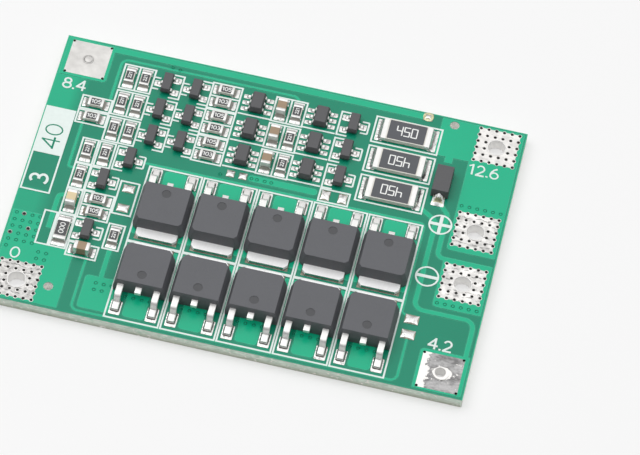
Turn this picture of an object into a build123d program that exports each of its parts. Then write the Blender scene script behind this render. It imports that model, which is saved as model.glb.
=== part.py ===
from build123d import *
from math import hypot
import os

os.makedirs("parts", exist_ok=True)

# Battery management board for three cells in series, in millimetres. The origin is the middle of
# the underside, +X runs along the long side, +Y towards the edge with the large balance
# resistors on its right, and +Z out of the side that carries the parts.

# Layers of the board, from the laminate up
board_thickness = 1.6
copper_step = 0.04  # mask over copper stands this far above mask over bare laminate
ink_thickness = 0.06
solder_thickness = 0.08
copper_edge_gap = 0.3  # bare strip between the copper and the board's edge
copper_corner = 0.45

# Terminal lands: a field of stitching vias round one large plated hole
via_pitch = 1.0
vias_per_side = 6
via_radius = 0.15
via_web = 0.15  # least metal between a stitching via and the large hole
land_rim = 0.1  # land beyond the centres of its outer vias
land_thickness = 0.06
land_recess = 0.02  # lower lands lie this far inside the board's underside
terminal_hole_radius = 1.1
sense_hole_radius = 0.7
barrel_wall = 0.06
sense_ring_width = 0.4
sense_ring_height = 0.1
solder_dimple_radius = 0.55
solder_dimple_depth = 0.04
land_margin_x = 0.8
land_margin_y = 0.55
land_pour_rim = 0.4  # copper round a land, under the mask
output_pitch = 8.0
tooling_hole_radius = 0.6
tooling_hole_gap = 3.25  # left of the battery plus land
lower_tooling_hole_gap = 1.4  # right of the battery minus land

# Legend lines
line_width = 0.22
line_gap = 0.2  # between the outer end of a solder pad and the line round the part

# Chip resistors and ceramic capacitors, 2.0 x 1.25 mm size
chip_length = 2.0
chip_width = 1.25
chip_height = 0.5
chip_cap_length = 0.4
cap_proud = 0.02  # plated end caps stand this far above the ceramic
capacitor_height = 1.25
chip_pad_reach = 0.7  # pad beyond the end of the chip
chip_pad_under = 0.3  # pad below the end of the chip
chip_pad_extra = 0.15  # pad wider than the chip
chip_side_gap = 0.375  # from the side of a chip to the line round it

# Link resistor, 3.2 x 1.6 mm size
link_length = 3.2
link_width = 1.6
link_height = 0.6
link_cap_length = 0.5
link_side_gap = 0.2

# Large balance resistors, 6.35 x 3.2 mm size
balance_length = 6.35
balance_width = 3.2
balance_height = 0.65
balance_cap_length = 0.6
balance_pad_reach = 0.75
balance_line_gap = 0.32
balance_side_gap = 0.4

# Small transistors with three leads
small_case_length = 2.9
small_case_width = 1.3
small_case_height = 1.0
small_case_draft = 8.0
small_span = 2.4  # tip to tip of the leads
small_lead_pitch = 1.9
small_lead_width = 0.4
small_lead_thickness = 0.12
small_lead_foot = 0.35
small_standoff = 0.08
small_pad_length = 1.0
small_pad_width = 0.9
small_pad_reach = 0.45
small_line_gap = 0.225
single_bracket_height = 1.75
single_bracket_depth = 0.9

# Chips with six leads
ic_case_width = 1.6
ic_span = 2.8
ic_lead_pitch = 0.95
ic_pad_length = 0.95
ic_pad_width = 0.6
ic_pad_reach = 0.55

# Power transistors
mosfet_width = 6.55
mosfet_length = 5.95
mosfet_height = 2.3
mosfet_waist = 0.9  # height of the upright lower part of the case
mosfet_side_slope = 0.42  # case narrower at the top, on each side
mosfet_end_slope = 0.16
mosfet_corner = 0.7  # cut corners at the tab end
mosfet_mark_radius = 0.5
mosfet_mark_depth = 0.06
mosfet_mark_inset = 1.5
tab_width = 5.2
tab_reach = 1.3
tab_corner = 0.45
metal_thickness = 0.5
lead_pitch = 4.6
lead_width = 0.8
lead_reach = 3.0
lead_drop_start = 1.35  # level run of a lead before it bends down
lead_foot = 1.2
lead_level = 1.04  # underside of the level run above the underside of the case
lead_root = 0.6  # lead inside the case
stub_reach = 0.8
mosfet_pad_length = 2.05
mosfet_pad_width = 1.4
mosfet_pad_reach = 0.5
tab_pad_rim = 0.1

# Flat diode with strap leads
diode_width = 2.2
diode_length = 4.1
diode_height = 1.4
diode_waist = 0.7
diode_slope = 0.12
strap_width = 1.5
strap_thickness = 0.15
strap_foot = 0.5
diode_pad_reach = 1.35
diode_pad_under = 0.3

# Spaces between the groups, from the left edge to the right
rating_margin = 0.15
rating_width = 3.85
rating_gap = 0.2
part_gap = 0.2
column_a_gap = 1.9
column_b_gap = 0.25
column_c_gap = 0.35
bank_gap = 0.79
cell_gap_x = 0.31
cell_side_gap = 0.1
balance_gap_x = 0.7
diode_gap = 0.55
symbol_lane = 2.17
land_gap = 1.8

# Spaces between the groups, from the top edge to the bottom
channel_margin = 2.5
row_gap = 0.2
balance_margin = 2.25
balance_gap_y = 0.64
bank_gap_channels = 2.33
bank_gap_balance = 1.7
cell_pad_gap = 0.2
cell_tab_gap = 0.55
cell_tab_gap_lower = 0.15
cell_pad_gap_lower = 0.55
cell_gap_y = 0.16
bank_margin = 0.66
cluster_gap = 0.16
diode_drop = 10.45
upright_gap = 0.25

channel_count = 3
bank_columns = 5

# Printed signs and bare test pads
symbol_diameter = 3.0
symbol_bar = 0.43
symbol_gap = 0.38
rating_drop = 11.4
rating_block_height = 7.15
rating_frame_height = 5.9
spare_box_width = 1.55
test_pad_length = 1.75
test_pad_width = 1.3
charge_pad_drop = 31.2
discharge_pad_drop = 33.45
test_pad_inset = 1.6
bridge_pad_size = 1.0
bridge_pad_pitch = 1.6
bridge_drop = 1.5
point_pad_size = 1.2
point_inset = 0.7
point_from_land = 9.35
empty_pad_length = 1.15
empty_pad_width = 1.5
empty_pad_pitch = 2.2
tall_empty_pitch = 3.0

# Copper areas under the mask, by how far they reach from the parts they serve
strip_width = 0.9  # strip along the top edge
strip_end = 9.6  # from its right end to the middle of the lands on the right
bridge_strip_width = 0.95
bridge_strip_start = 1.5  # right of the bridge pads
bridge_strip_rise = 1.0  # above the bank
resistor_pour_lap = 3.9  # from the middle of a balance resistor to the pour at its right end
output_pour_rise = 0.8
output_pour_drop = 1.5
corner_pour_reach = 3.15  # right of the battery minus land
corner_pour_rise = 1.7  # above the middle of the link resistor
feed_pour_reach = 1.9
feed_pour_low = 0.5
feed_pour_high = 5.4
tab_pour_low = 0.7
tab_pour_high = 1.3
lower_pour_low = 0.4
lower_pour_high = 1.1
gate_pour_left = 1.3  # between the leads of a power transistor, from its middle
gate_pour_right = 1.5
diode_strip_width = 1.0

# Tracks under the mask
fine_track = 0.3
wide_track = 0.6
top_track_drop = 1.95
top_track_start = 0.55  # left of the channels
top_track_end = 5.0  # right of the middle of the first channel's protection chip
lane_inset = 1.45  # from the bank to the first of the wide tracks beside it
lane_start_drop = 1.1
lane_bend_drop = 2.6
lane_floor = 9.05
lane_end = 2.55  # right of the middle of the lands
diode_track_drop = 1.8
diode_track_floor = 0.9
bank_track_gap = 0.3  # above the bank
bank_track_side = 0.15  # right of the bank
bank_track_start = 1.2  # left of the bank
bank_track_end_rise = 0.8
edge_track_rise = 0.6  # above the bottom edge
edge_track_reach = 2.5
side_track_reach = 1.75  # left of the first column of control parts
side_bend = 1.1
wide_bend = 1.2
lane_bend = 0.9
fine_bend = 0.5
control_bend = 0.3
control_wide_bend = 0.4

# Sizes that follow
land_size = (vias_per_side - 1) * via_pitch + 2 * land_rim
chip_cell_length = chip_length + 2 * (chip_pad_reach + line_gap)
chip_cell_width = chip_width + 2 * chip_side_gap
link_cell_length = link_length + 2 * (chip_pad_reach + line_gap)
link_cell_width = link_width + 2 * link_side_gap
balance_cell_length = balance_length + 2 * (balance_pad_reach + balance_line_gap)
balance_cell_width = balance_width + 2 * balance_side_gap
small_cell_length = small_span + 2 * (small_pad_reach + small_line_gap)
small_cell_width = small_lead_pitch + small_pad_width + 2 * (line_gap + line_width)
ic_cell_length = ic_span + 2 * (ic_pad_reach + line_gap)
cell_width = mosfet_width + 2 * cell_side_gap
mosfet_reach = lead_reach + mosfet_pad_reach + mosfet_length + tab_reach
upper_cell_height = cell_pad_gap + mosfet_reach + cell_tab_gap
lower_cell_height = cell_tab_gap_lower + mosfet_reach + cell_pad_gap_lower
row_height = max(chip_cell_length, 2 * chip_cell_width, small_cell_width)

# Distances from the left edge
channel_inset = rating_margin + rating_width + rating_gap + chip_cell_length + part_gap
channel_width = (
    4 * chip_cell_width + 3 * small_cell_length + 2 * ic_cell_length + chip_cell_length + 2 * part_gap
)
column_a_inset = rating_margin + rating_width + column_a_gap
column_b_inset = column_a_inset + chip_cell_width + column_b_gap
column_c_inset = column_b_inset + chip_cell_width + column_c_gap
bank_inset = column_c_inset + small_cell_length + bank_gap
bank_width = bank_columns * cell_width + (bank_columns - 1) * cell_gap_x
balance_inset = channel_inset + channel_width + balance_gap_x
diode_inset = balance_inset + balance_cell_length + diode_gap
right_lane = max(diode_inset + diode_width, bank_inset + bank_width + symbol_lane)
board_length = right_lane + land_gap + land_size + land_margin_x

# Distances from the top edge
row_pitch = row_height + row_gap
balance_pitch = balance_cell_width + balance_gap_y
channel_drop = channel_margin + channel_count * row_pitch - row_gap
balance_drop = balance_margin + channel_count * balance_pitch - balance_gap_y
bank_drop = max(channel_drop + bank_gap_channels, balance_drop + bank_gap_balance)
lower_drop = bank_drop + upper_cell_height + cell_gap_y
board_width = lower_drop + lower_cell_height + bank_margin

left = -board_length / 2
right = board_length / 2
top = board_width / 2
bottom = -board_width / 2
face = board_thickness
seat = board_thickness + solder_thickness
bank_left = left + bank_inset
bank_right = bank_left + bank_width
bank_top = top - bank_drop
bank_bottom = bottom + bank_margin
land_x = right - land_margin_x - land_size / 2
land_y = top - land_margin_y - land_size / 2
row_heights = [top - channel_margin - row_height / 2 - n * row_pitch for n in range(channel_count)]
balance_x = left + balance_inset + balance_cell_length / 2
balance_rows = [
    top - balance_margin - balance_cell_width / 2 - n * balance_pitch for n in range(channel_count)
]


def turned(x, y, angle=0):
    """A place on the board, with the part turned about the upright axis."""
    return Location((x, y, 0), (0, 0, angle))


# Where the parts of one channel stand, from left to right
chips = []
capacitors = []
transistors = []
protection_chips = []
balance_chips = []
for y in row_heights:
    x = left + channel_inset
    stack_x = x + 2 * chip_cell_width + 2 * small_cell_length + chip_cell_length / 2
    ic_x = stack_x + chip_cell_length / 2 + part_gap + ic_cell_length / 2
    capacitor_x = ic_x + (ic_cell_length + chip_cell_width) / 2
    second_ic_x = capacitor_x + 1.5 * chip_cell_width + ic_cell_length / 2
    last_x = second_ic_x + ic_cell_length / 2 + part_gap + small_cell_length / 2
    first_small_x = x + 2 * chip_cell_width + small_cell_length / 2
    chips.append(
        [
            turned(x + 0.5 * chip_cell_width, y, 90),
            turned(x + 1.5 * chip_cell_width, y, 90),
            turned(stack_x, y + chip_cell_width / 2),
            turned(stack_x, y - chip_cell_width / 2),
            turned(capacitor_x + chip_cell_width, y, 90),
        ]
    )
    capacitors.append(turned(capacitor_x, y, 90))
    transistors.append(
        [turned(first_small_x, y), turned(first_small_x + small_cell_length, y), turned(last_x, y, 180)]
    )
    protection_chips.append(turned(ic_x, y))
    balance_chips.append(turned(second_ic_x, y))

# Control parts: two short rows beside the channels, then four rows down the left side
column_a = left + column_a_inset + chip_cell_width / 2
column_b = left + column_b_inset + chip_cell_width / 2
stacked_x = column_a + chip_cell_width / 2 + column_b_gap + chip_cell_length / 2
shifted_small_x = column_a + chip_cell_width / 2 + small_cell_length / 2 + column_b_gap / 2
upright_x = left + channel_inset - part_gap - chip_cell_length / 2
upright_y = (row_heights[1] + row_heights[2]) / 2
upright_step = (chip_cell_width + upright_gap) / 2
control_y = []
row_top = top - channel_drop - part_gap
for height in [chip_cell_length, chip_cell_length, chip_cell_length, link_cell_length]:
    control_y.append(row_top - height / 2)
    row_top = row_top - height - cluster_gap
small_row_y = control_y[3] + (link_cell_length - small_cell_width) / 2
lying_capacitor_y = small_row_y - small_cell_width / 2 - cluster_gap - chip_cell_width / 2
column_c = bank_left - bank_gap - chip_cell_width / 2 + cluster_gap / 2
empty_x = transistors[0][2].position.X
empty_y = bank_top + bank_gap_channels / 2 + cluster_gap
tall_empty_y = (control_y[1] + control_y[2]) / 2 + cluster_gap
stack_step = chip_cell_width / 2

control_chips = [
    turned(upright_x, upright_y + upright_step),
    turned(upright_x, upright_y - upright_step),
    turned(column_a, control_y[0], 90),
    turned(column_b, control_y[0], 90),
    turned(column_a, control_y[1], 90),
    turned(stacked_x, control_y[2] + stack_step),
    turned(stacked_x, control_y[2] - stack_step),
    turned(column_c, small_row_y, 90),
]
control_capacitors = [turned(column_a, control_y[2], 90), turned(stacked_x, lying_capacitor_y)]
control_transistors = [
    turned(left + column_c_inset + small_cell_length / 2, control_y[0], 180),
    turned(shifted_small_x, control_y[1], 180),
    turned(shifted_small_x, small_row_y, 180),
]
link_spot = turned(column_a, control_y[3], 90)
balance_spots = [turned(balance_x, y) for y in balance_rows]
diode_spot = turned(left + diode_inset + diode_width / 2, top - diode_drop, 90)

# Power transistors: leads up in the upper row, down in the lower row
upper_y = bank_top - cell_pad_gap - mosfet_pad_reach - lead_reach - mosfet_length / 2
lower_y = bank_bottom + cell_pad_gap_lower + mosfet_pad_reach + lead_reach + mosfet_length / 2
cell_pitch = cell_width + cell_gap_x
mosfet_columns = [bank_left + cell_width / 2 + n * cell_pitch for n in range(bank_columns)]
mosfet_spots = [turned(x, upper_y) for x in mosfet_columns]
mosfet_spots += [turned(x, lower_y, 180) for x in mosfet_columns]

# Terminal lands
power_lands = {
    "battery_minus_land": (-land_x, -land_y),
    "battery_plus_land": (land_x, land_y),
    "output_plus_land": (land_x, output_pitch / 2),
    "output_minus_land": (land_x, -output_pitch / 2),
}
first_cell_land = (land_x, -land_y)
second_cell_land = (-land_x, land_y)
sense_lands = [first_cell_land, second_cell_land]
all_lands = [*power_lands.values(), *sense_lands]
tooling_holes = [
    (right - land_margin_x - land_size - tooling_hole_gap, top - 2 * land_margin_y),
    (-land_x + land_size / 2 + lower_tooling_hole_gap, -land_y),
]

grid = [(n - (vias_per_side - 1) / 2) * via_pitch for n in range(vias_per_side)]
clear_of_hole = terminal_hole_radius + barrel_wall + via_radius + via_web
land_vias = [(x, y) for x in grid for y in grid if hypot(x, y) > clear_of_hole]
corner_vias = [(x, y) for x in (grid[0], grid[-1]) for y in (grid[0], grid[-1])]
board_vias = [(x + dx, y + dy) for x, y in power_lands.values() for dx, dy in land_vias]
board_vias += [(x + dx, y + dy) for x, y in sense_lands for dx, dy in corner_vias]


def chip_pads(length, width, reach):
    """Two pads of a chip that lies along X: their centre distance, length and width."""
    pad_length = reach + chip_pad_under
    return (length / 2 + reach - pad_length / 2, pad_length, width + chip_pad_extra)


def pad_places(spots, offsets):
    """Every pad of a kind, at each of the parts that stand on such pads."""
    return [spot * Location((dx, dy, 0)) for spot in spots for dx, dy in offsets]


chip_pad_x, chip_pad_length, chip_pad_width = chip_pads(chip_length, chip_width, chip_pad_reach)
link_pad_x, link_pad_length, link_pad_width = chip_pads(link_length, link_width, chip_pad_reach)
wide_pad_x, wide_pad_length, wide_pad_width = chip_pads(
    balance_length, balance_width, balance_pad_reach
)
diode_pad_x, diode_pad_length, diode_pad_width = chip_pads(diode_length, strap_width, diode_pad_reach)
small_pad_x = small_span / 2 + small_pad_reach - small_pad_length / 2
ic_pad_x = ic_span / 2 + ic_pad_reach - ic_pad_length / 2
lead_pad_y = mosfet_length / 2 + lead_reach + mosfet_pad_reach - mosfet_pad_length / 2
tab_pad_length = tab_reach + mosfet_length / 2
tab_pad_y = -mosfet_length / 2 - tab_reach - tab_pad_rim + tab_pad_length / 2
all_chips = [spot for row in chips for spot in row] + capacitors + control_chips + control_capacitors
all_small = [spot for row in transistors for spot in row] + control_transistors
all_ics = protection_chips + balance_chips
small_offsets = [(-small_pad_x, 0)] + [(small_pad_x, s * small_lead_pitch / 2) for s in (-1, 1)]
ic_offsets = [(s * ic_pad_x, n * ic_lead_pitch) for s in (-1, 1) for n in (-1, 0, 1)]

# Pads under the small parts and under the power parts: length, width and places
small_pads = [
    (chip_pad_length, chip_pad_width, pad_places(all_chips, [(-chip_pad_x, 0), (chip_pad_x, 0)])),
    (link_pad_length, link_pad_width, pad_places([link_spot], [(-link_pad_x, 0), (link_pad_x, 0)])),
    (small_pad_length, small_pad_width, pad_places(all_small, small_offsets)),
    (ic_pad_length, ic_pad_width, pad_places(all_ics, ic_offsets)),
]
power_pads = [
    (wide_pad_length, wide_pad_width, pad_places(balance_spots, [(-wide_pad_x, 0), (wide_pad_x, 0)])),
    (
        diode_pad_length,
        diode_pad_width,
        pad_places([diode_spot], [(-diode_pad_x, 0), (diode_pad_x, 0)]),
    ),
    (
        mosfet_pad_width,
        mosfet_pad_length,
        pad_places(mosfet_spots, [(-lead_pitch / 2, lead_pad_y), (lead_pitch / 2, lead_pad_y)]),
    ),
    (tab_width + 2 * tab_pad_rim, tab_pad_length, pad_places(mosfet_spots, [(0, tab_pad_y)])),
]
bridge_x = protection_chips[0].position.X
bridge_y = bank_top + bridge_drop
charge_pad = (bank_right + test_pad_inset, top - charge_pad_drop)
discharge_pad = (bank_right + test_pad_inset, top - discharge_pad_drop)
bare_pads = [
    (test_pad_length, test_pad_width, [turned(*charge_pad), turned(*discharge_pad)]),
    (
        bridge_pad_size,
        bridge_pad_size,
        [turned(bridge_x + s * bridge_pad_pitch / 2, bridge_y) for s in (-1, 1)],
    ),
    (point_pad_size, point_pad_size, [turned(land_x - point_from_land, top - point_inset)]),
    (
        empty_pad_length,
        empty_pad_width,
        [turned(empty_x + s * empty_pad_pitch / 2, empty_y) for s in (-1, 1)],
    ),
    (
        empty_pad_width,
        empty_pad_length,
        [turned(column_c, tall_empty_y + s * tall_empty_pitch / 2) for s in (-1, 1)],
    ),
]


def write(piece, name):
    """Name a finished piece and write it to its file."""
    piece.part.label = name
    export_step(piece.part, f"parts/{name}.step")


def write_copies(shape, name, spots, height=seat):
    """Stand a copy of a shape at each spot and write them as one piece."""
    places = [Location((0, 0, height)) * spot for spot in spots]
    with BuildPart() as piece:
        with Locations(*places):
            add(shape)
    write(piece, name)


def write_pads(name, pads, thickness):
    """Solder on a set of pads."""
    with BuildPart() as piece:
        with BuildSketch(Plane.XY.offset(face)):
            for length, width, places in pads:
                with Locations(*places):
                    Rectangle(length, width)
        extrude(amount=thickness)
    write(piece, name)


def track(points, width, radius):
    """A copper track along straight runs with round bends, added to the sketch that calls it."""
    with BuildLine() as route:
        FilletPolyline(*points, radius=radius)
    trace(route.line, line_width=width)


def block(x_low, y_low, x_high, y_high, corner=copper_corner):
    """A copper area between two corners, with its own corners rounded as far as it is wide."""
    length = x_high - x_low
    width = y_high - y_low
    with Locations(((x_low + x_high) / 2, (y_low + y_high) / 2)):
        RectangleRounded(length, width, min(corner, 0.45 * length, 0.45 * width))


# Copper under the mask, as far as it shows on the face with the parts
half_land = land_size / 2
strip_top = top - copper_edge_gap
pour_left = land_x - half_land - land_pour_rim
lane_x = bank_right + lane_inset
second_lane_x = lane_x + 2 * wide_track
diode_x = diode_spot.position.X
diode_low_y = top - diode_drop - diode_pad_x
feed_x = column_c
top_track_x = left + channel_inset - top_track_start
top_track_turn_x = protection_chips[0].position.X + top_track_end
edge_track_x = feed_x - edge_track_reach
side_track_x = column_a - side_track_reach
with BuildSketch(Plane.XY.offset(face)) as copper_areas:
    block(left, strip_top - strip_width, land_x - strip_end, strip_top)
    block(left, land_y - half_land - land_pour_rim, -land_x + half_land + land_pour_rim, top)
    block(balance_x + resistor_pour_lap, land_y - half_land - land_pour_rim, right, top)
    block(pour_left, output_pitch / 2 - half_land - 2 * land_pour_rim, right, top)
    block(
        pour_left,
        -output_pitch / 2 - half_land - output_pour_drop,
        right,
        -output_pitch / 2 + half_land + output_pour_rise,
    )
    block(pour_left, bottom, right, -land_y + half_land + land_pour_rim)
    block(left, bottom, -land_x + half_land + corner_pour_reach, control_y[3] - link_cell_length / 2)
    block(left, bottom, left + rating_margin + rating_width, control_y[3] + corner_pour_rise)
    block(
        feed_x - feed_pour_reach,
        bank_bottom + feed_pour_low,
        bank_left + copper_corner,
        bank_bottom + feed_pour_high,
    )
    block(
        bank_left,
        upper_y - mosfet_length / 2 - tab_pour_low,
        bank_right,
        upper_y + mosfet_length / 2 + tab_pour_high,
    )
    block(
        bank_left,
        lower_y - mosfet_length / 2 + lower_pour_low,
        bank_right,
        lower_y + mosfet_length / 2 + lower_pour_high,
    )
    for x in mosfet_columns:
        block(x - gate_pour_left, upper_y, x + gate_pour_right, bank_top - cell_pad_gap)
        block(x - gate_pour_left, bank_bottom + cell_pad_gap_lower, x + gate_pour_right, lower_y)
    block(
        bridge_x + bridge_strip_start,
        bank_top + bridge_strip_rise,
        empty_x - empty_pad_pitch,
        bank_top + bridge_strip_rise + bridge_strip_width,
    )
    block(
        diode_x - diode_strip_width / 2,
        diode_spot.position.Y,
        diode_x + diode_strip_width / 2,
        land_y - half_land,
    )
    block(
        feed_x - wide_track / 2,
        bank_bottom + feed_pour_high - wide_bend,
        feed_x + wide_track / 2,
        small_row_y,
    )
    track(
        [
            (top_track_x, row_heights[1]),
            (top_track_x, top - top_track_drop),
            (top_track_turn_x, top - top_track_drop),
            (top_track_turn_x, row_heights[0]),
        ],
        fine_track,
        lane_bend,
    )
    track(
        [
            (balance_x + resistor_pour_lap, balance_rows[-1] - lane_start_drop),
            (lane_x, balance_rows[-1] - lane_bend_drop),
            (lane_x, -lane_floor),
            (land_x + lane_end, -lane_floor),
            (land_x + lane_end, -land_y),
        ],
        wide_track,
        wide_bend,
    )
    track(
        [
            (diode_x, diode_low_y),
            (second_lane_x, diode_low_y - diode_track_drop),
            (second_lane_x, -diode_track_floor),
            (land_x, -diode_track_floor),
        ],
        wide_track,
        lane_bend,
    )
    track(
        [
            (bank_left - bank_track_start, bank_top + bank_track_gap),
            (bank_right + bank_track_side, bank_top + bank_track_gap),
            (bank_right + bank_track_side, charge_pad[1] + bank_track_end_rise),
            charge_pad,
        ],
        fine_track,
        fine_bend,
    )
    track(
        [
            discharge_pad,
            (discharge_pad[0], bottom + edge_track_rise),
            (edge_track_x, bottom + edge_track_rise),
            (edge_track_x, lying_capacitor_y),
        ],
        fine_track,
        lane_bend,
    )
    track(
        [
            (side_track_x, upright_y - upright_step),
            (side_track_x, control_y[1] + side_bend),
            (column_a, control_y[1] + side_bend),
        ],
        fine_track,
        control_bend,
    )
    track(
        [
            (column_a, control_y[2] + side_bend),
            (side_track_x, control_y[2] + side_bend / 2),
            (side_track_x, control_y[3]),
        ],
        wide_track,
        control_wide_bend,
    )
    Rectangle(board_length - 2 * copper_edge_gap, board_width - 2 * copper_edge_gap, mode=Mode.INTERSECT)
    with Locations(*all_lands):
        Rectangle(land_size, land_size, mode=Mode.SUBTRACT)
    for length, width, places in small_pads + power_pads + bare_pads:
        with Locations(*places):
            Rectangle(length, width, mode=Mode.SUBTRACT)

# Laminate with its mask, its raised copper areas, its holes and the recesses of the lower lands
with BuildPart() as circuit_board:
    with BuildSketch():
        Rectangle(board_length, board_width)
    extrude(amount=board_thickness)
    add(copper_areas.sketch)
    extrude(amount=copper_step)
    with BuildSketch():
        with Locations(*all_lands):
            Rectangle(land_size, land_size)
    extrude(amount=land_recess + land_thickness, mode=Mode.SUBTRACT)
    with BuildSketch():
        with Locations(*board_vias):
            Circle(via_radius)
        with Locations(*power_lands.values()):
            Circle(terminal_hole_radius + barrel_wall)
        with Locations(*sense_lands):
            Circle(sense_hole_radius + barrel_wall)
        with Locations(*tooling_holes):
            Circle(tooling_hole_radius)
    extrude(amount=board_thickness + copper_step, mode=Mode.SUBTRACT)
write(circuit_board, "printed_circuit_board")

# Terminal lands: an upper and a lower plate joined by the plated wall of the hole
land_top = face + land_thickness


def land_plates(barrel_radius):
    """Both plates of a land and its solid barrel, added to the part that calls it."""
    with Locations((0, 0, land_recess + land_thickness / 2), (0, 0, face + land_thickness / 2)):
        Box(land_size, land_size, land_thickness)
    with Locations((0, 0, (land_recess + land_top) / 2)):
        Cylinder(barrel_radius, land_top - land_recess)


with BuildPart() as power_land:
    land_plates(terminal_hole_radius + barrel_wall)
    with BuildSketch():
        Circle(terminal_hole_radius)
        with Locations(*land_vias):
            Circle(via_radius)
    extrude(amount=land_top, mode=Mode.SUBTRACT)
for name, spot in power_lands.items():
    write_copies(power_land.part, name, [turned(*spot)], 0)

# The first cell's land has an open hole with a ring of solder round it
with BuildPart() as first_cell:
    land_plates(sense_hole_radius + barrel_wall)
    with BuildSketch(Plane.XY.offset(face)):
        Circle(sense_hole_radius + sense_ring_width)
    extrude(amount=land_thickness + sense_ring_height)
    with BuildSketch():
        Circle(sense_hole_radius)
        with Locations(*corner_vias):
            Circle(via_radius)
    extrude(amount=land_top + sense_ring_height, mode=Mode.SUBTRACT)
write_copies(first_cell.part, "first_cell_land", [turned(*first_cell_land)], 0)

# The second cell's hole is filled with solder, sunk a little in its middle
with BuildPart() as second_cell:
    land_plates(sense_hole_radius + barrel_wall)
    with BuildSketch(Plane.XY.offset(land_top)):
        Circle(solder_dimple_radius)
    extrude(amount=-solder_dimple_depth, mode=Mode.SUBTRACT)
    with BuildSketch():
        with Locations(*corner_vias):
            Circle(via_radius)
    extrude(amount=land_top, mode=Mode.SUBTRACT)
write_copies(second_cell.part, "second_cell_land", [turned(*second_cell_land)], 0)

# Solder under the parts, and the pads that stay bare
write_pads("small_part_solder", small_pads, solder_thickness)
write_pads("power_part_solder", power_pads, solder_thickness)
write_pads("test_pads", bare_pads, solder_thickness)

# Legend: boxes round the parts, with the pads left free
symbol_x = land_x - land_size / 2 - symbol_gap - symbol_diameter / 2
rating_x = left + rating_margin + rating_width / 2
rating_middle = top - rating_drop - rating_block_height
upper_cell_y = bank_top - upper_cell_height / 2
lower_cell_y = bank_bottom + lower_cell_height / 2
spare_x = column_a - link_cell_width / 2 - spare_box_width / 2 - line_width
boxes = [
    (chip_cell_length, chip_cell_width, all_chips),
    (link_cell_length, link_cell_width, [link_spot]),
    (balance_cell_length, balance_cell_width, balance_spots),
    (cell_width, upper_cell_height, [turned(x, upper_cell_y) for x in mosfet_columns]),
    (cell_width, lower_cell_height, [turned(x, lower_cell_y) for x in mosfet_columns]),
    (
        empty_pad_pitch + empty_pad_length + 2 * line_gap,
        empty_pad_width + 2 * line_gap,
        [turned(empty_x, empty_y)],
    ),
    (
        empty_pad_width + 2 * (line_gap + line_width),
        tall_empty_pitch + empty_pad_length + 2 * (line_gap + line_width),
        [turned(column_c, tall_empty_y)],
    ),
    (spare_box_width, link_cell_length, [turned(spare_x, control_y[3])]),
    (
        rating_width - line_width,
        rating_frame_height,
        [turned(rating_x, rating_middle - rating_frame_height / 2)],
    ),
]
bracket_x = small_cell_length / 2
pair_bracket_depth = small_cell_length / 2 - small_case_width / 2
with BuildSketch(Plane.XY.offset(face)) as legend_lines:
    for length, width, places in boxes:
        with Locations(*places):
            Rectangle(length + line_width, width + line_width)
    for length, width, places in boxes:
        with Locations(*places):
            Rectangle(length - line_width, width - line_width, mode=Mode.SUBTRACT)
    with Locations(*pad_places(all_small, [(bracket_x, 0)])):
        Rectangle(line_width, small_cell_width)
    with Locations(
        *pad_places(
            all_small,
            [(bracket_x - pair_bracket_depth / 2, s * small_cell_width / 2) for s in (-1, 1)],
        )
    ):
        Rectangle(pair_bracket_depth + line_width, line_width)
    with Locations(*pad_places(all_small, [(-bracket_x, 0)])):
        Rectangle(line_width, single_bracket_height)
    with Locations(
        *pad_places(
            all_small,
            [
                (single_bracket_depth / 2 - bracket_x, s * single_bracket_height / 2)
                for s in (-1, 1)
            ],
        )
    ):
        Rectangle(single_bracket_depth, line_width)
    with Locations(*pad_places(all_ics, [(0, -small_cell_width / 2)])):
        Rectangle(ic_cell_length, line_width)
    with Locations((rating_x, rating_middle + rating_block_height / 2)):
        Rectangle(rating_width, rating_block_height)
    with Locations((symbol_x, output_pitch / 2), (symbol_x, -output_pitch / 2)):
        Circle(symbol_diameter / 2)
        Circle(symbol_diameter / 2 - line_width, mode=Mode.SUBTRACT)
        Rectangle(symbol_diameter - line_width, symbol_bar)
    with Locations((symbol_x, output_pitch / 2)):
        Rectangle(symbol_bar, symbol_diameter - line_width)
    with Locations(*all_lands):
        Rectangle(land_size, land_size, mode=Mode.SUBTRACT)
    for length, width, places in small_pads + power_pads + bare_pads:
        with Locations(*places):
            Rectangle(length, width, mode=Mode.SUBTRACT)
with BuildPart() as legend:
    add(legend_lines.sketch)
    extrude(amount=ink_thickness)
    add(circuit_board.part, mode=Mode.SUBTRACT)
write(legend, "legend_print")


def chip(length, width, height, cap_length):
    """A ceramic chip along X with a plated cap round each end."""
    with BuildPart() as body:
        with Locations((0, 0, height / 2)):
            Box(length, width - 2 * cap_proud, height - 2 * cap_proud)
        with Locations(*[(s * (length - cap_length) / 2, 0, height / 2) for s in (-1, 1)]):
            Box(cap_length, width, height)
    return body.part


chip_resistor = chip(chip_length, chip_width, chip_height, chip_cap_length)
ceramic_capacitor = chip(chip_length, chip_width, capacitor_height, chip_cap_length)
link_resistor = chip(link_length, link_width, link_height, link_cap_length)
balance_resistor = chip(balance_length, balance_width, balance_height, balance_cap_length)


def small_case(width):
    """Moulded case, upright below its leads' level and drafted above it, long side along Y."""
    waist = small_standoff + (small_case_height - small_standoff) / 2
    with BuildPart() as case:
        with BuildSketch(Plane.XY.offset(small_standoff)):
            Rectangle(width, small_case_length)
        extrude(amount=waist - small_standoff)
        with BuildSketch(Plane.XY.offset(waist)):
            Rectangle(width, small_case_length)
        extrude(amount=small_case_height - waist, taper=small_case_draft)
    return case.part


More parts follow.
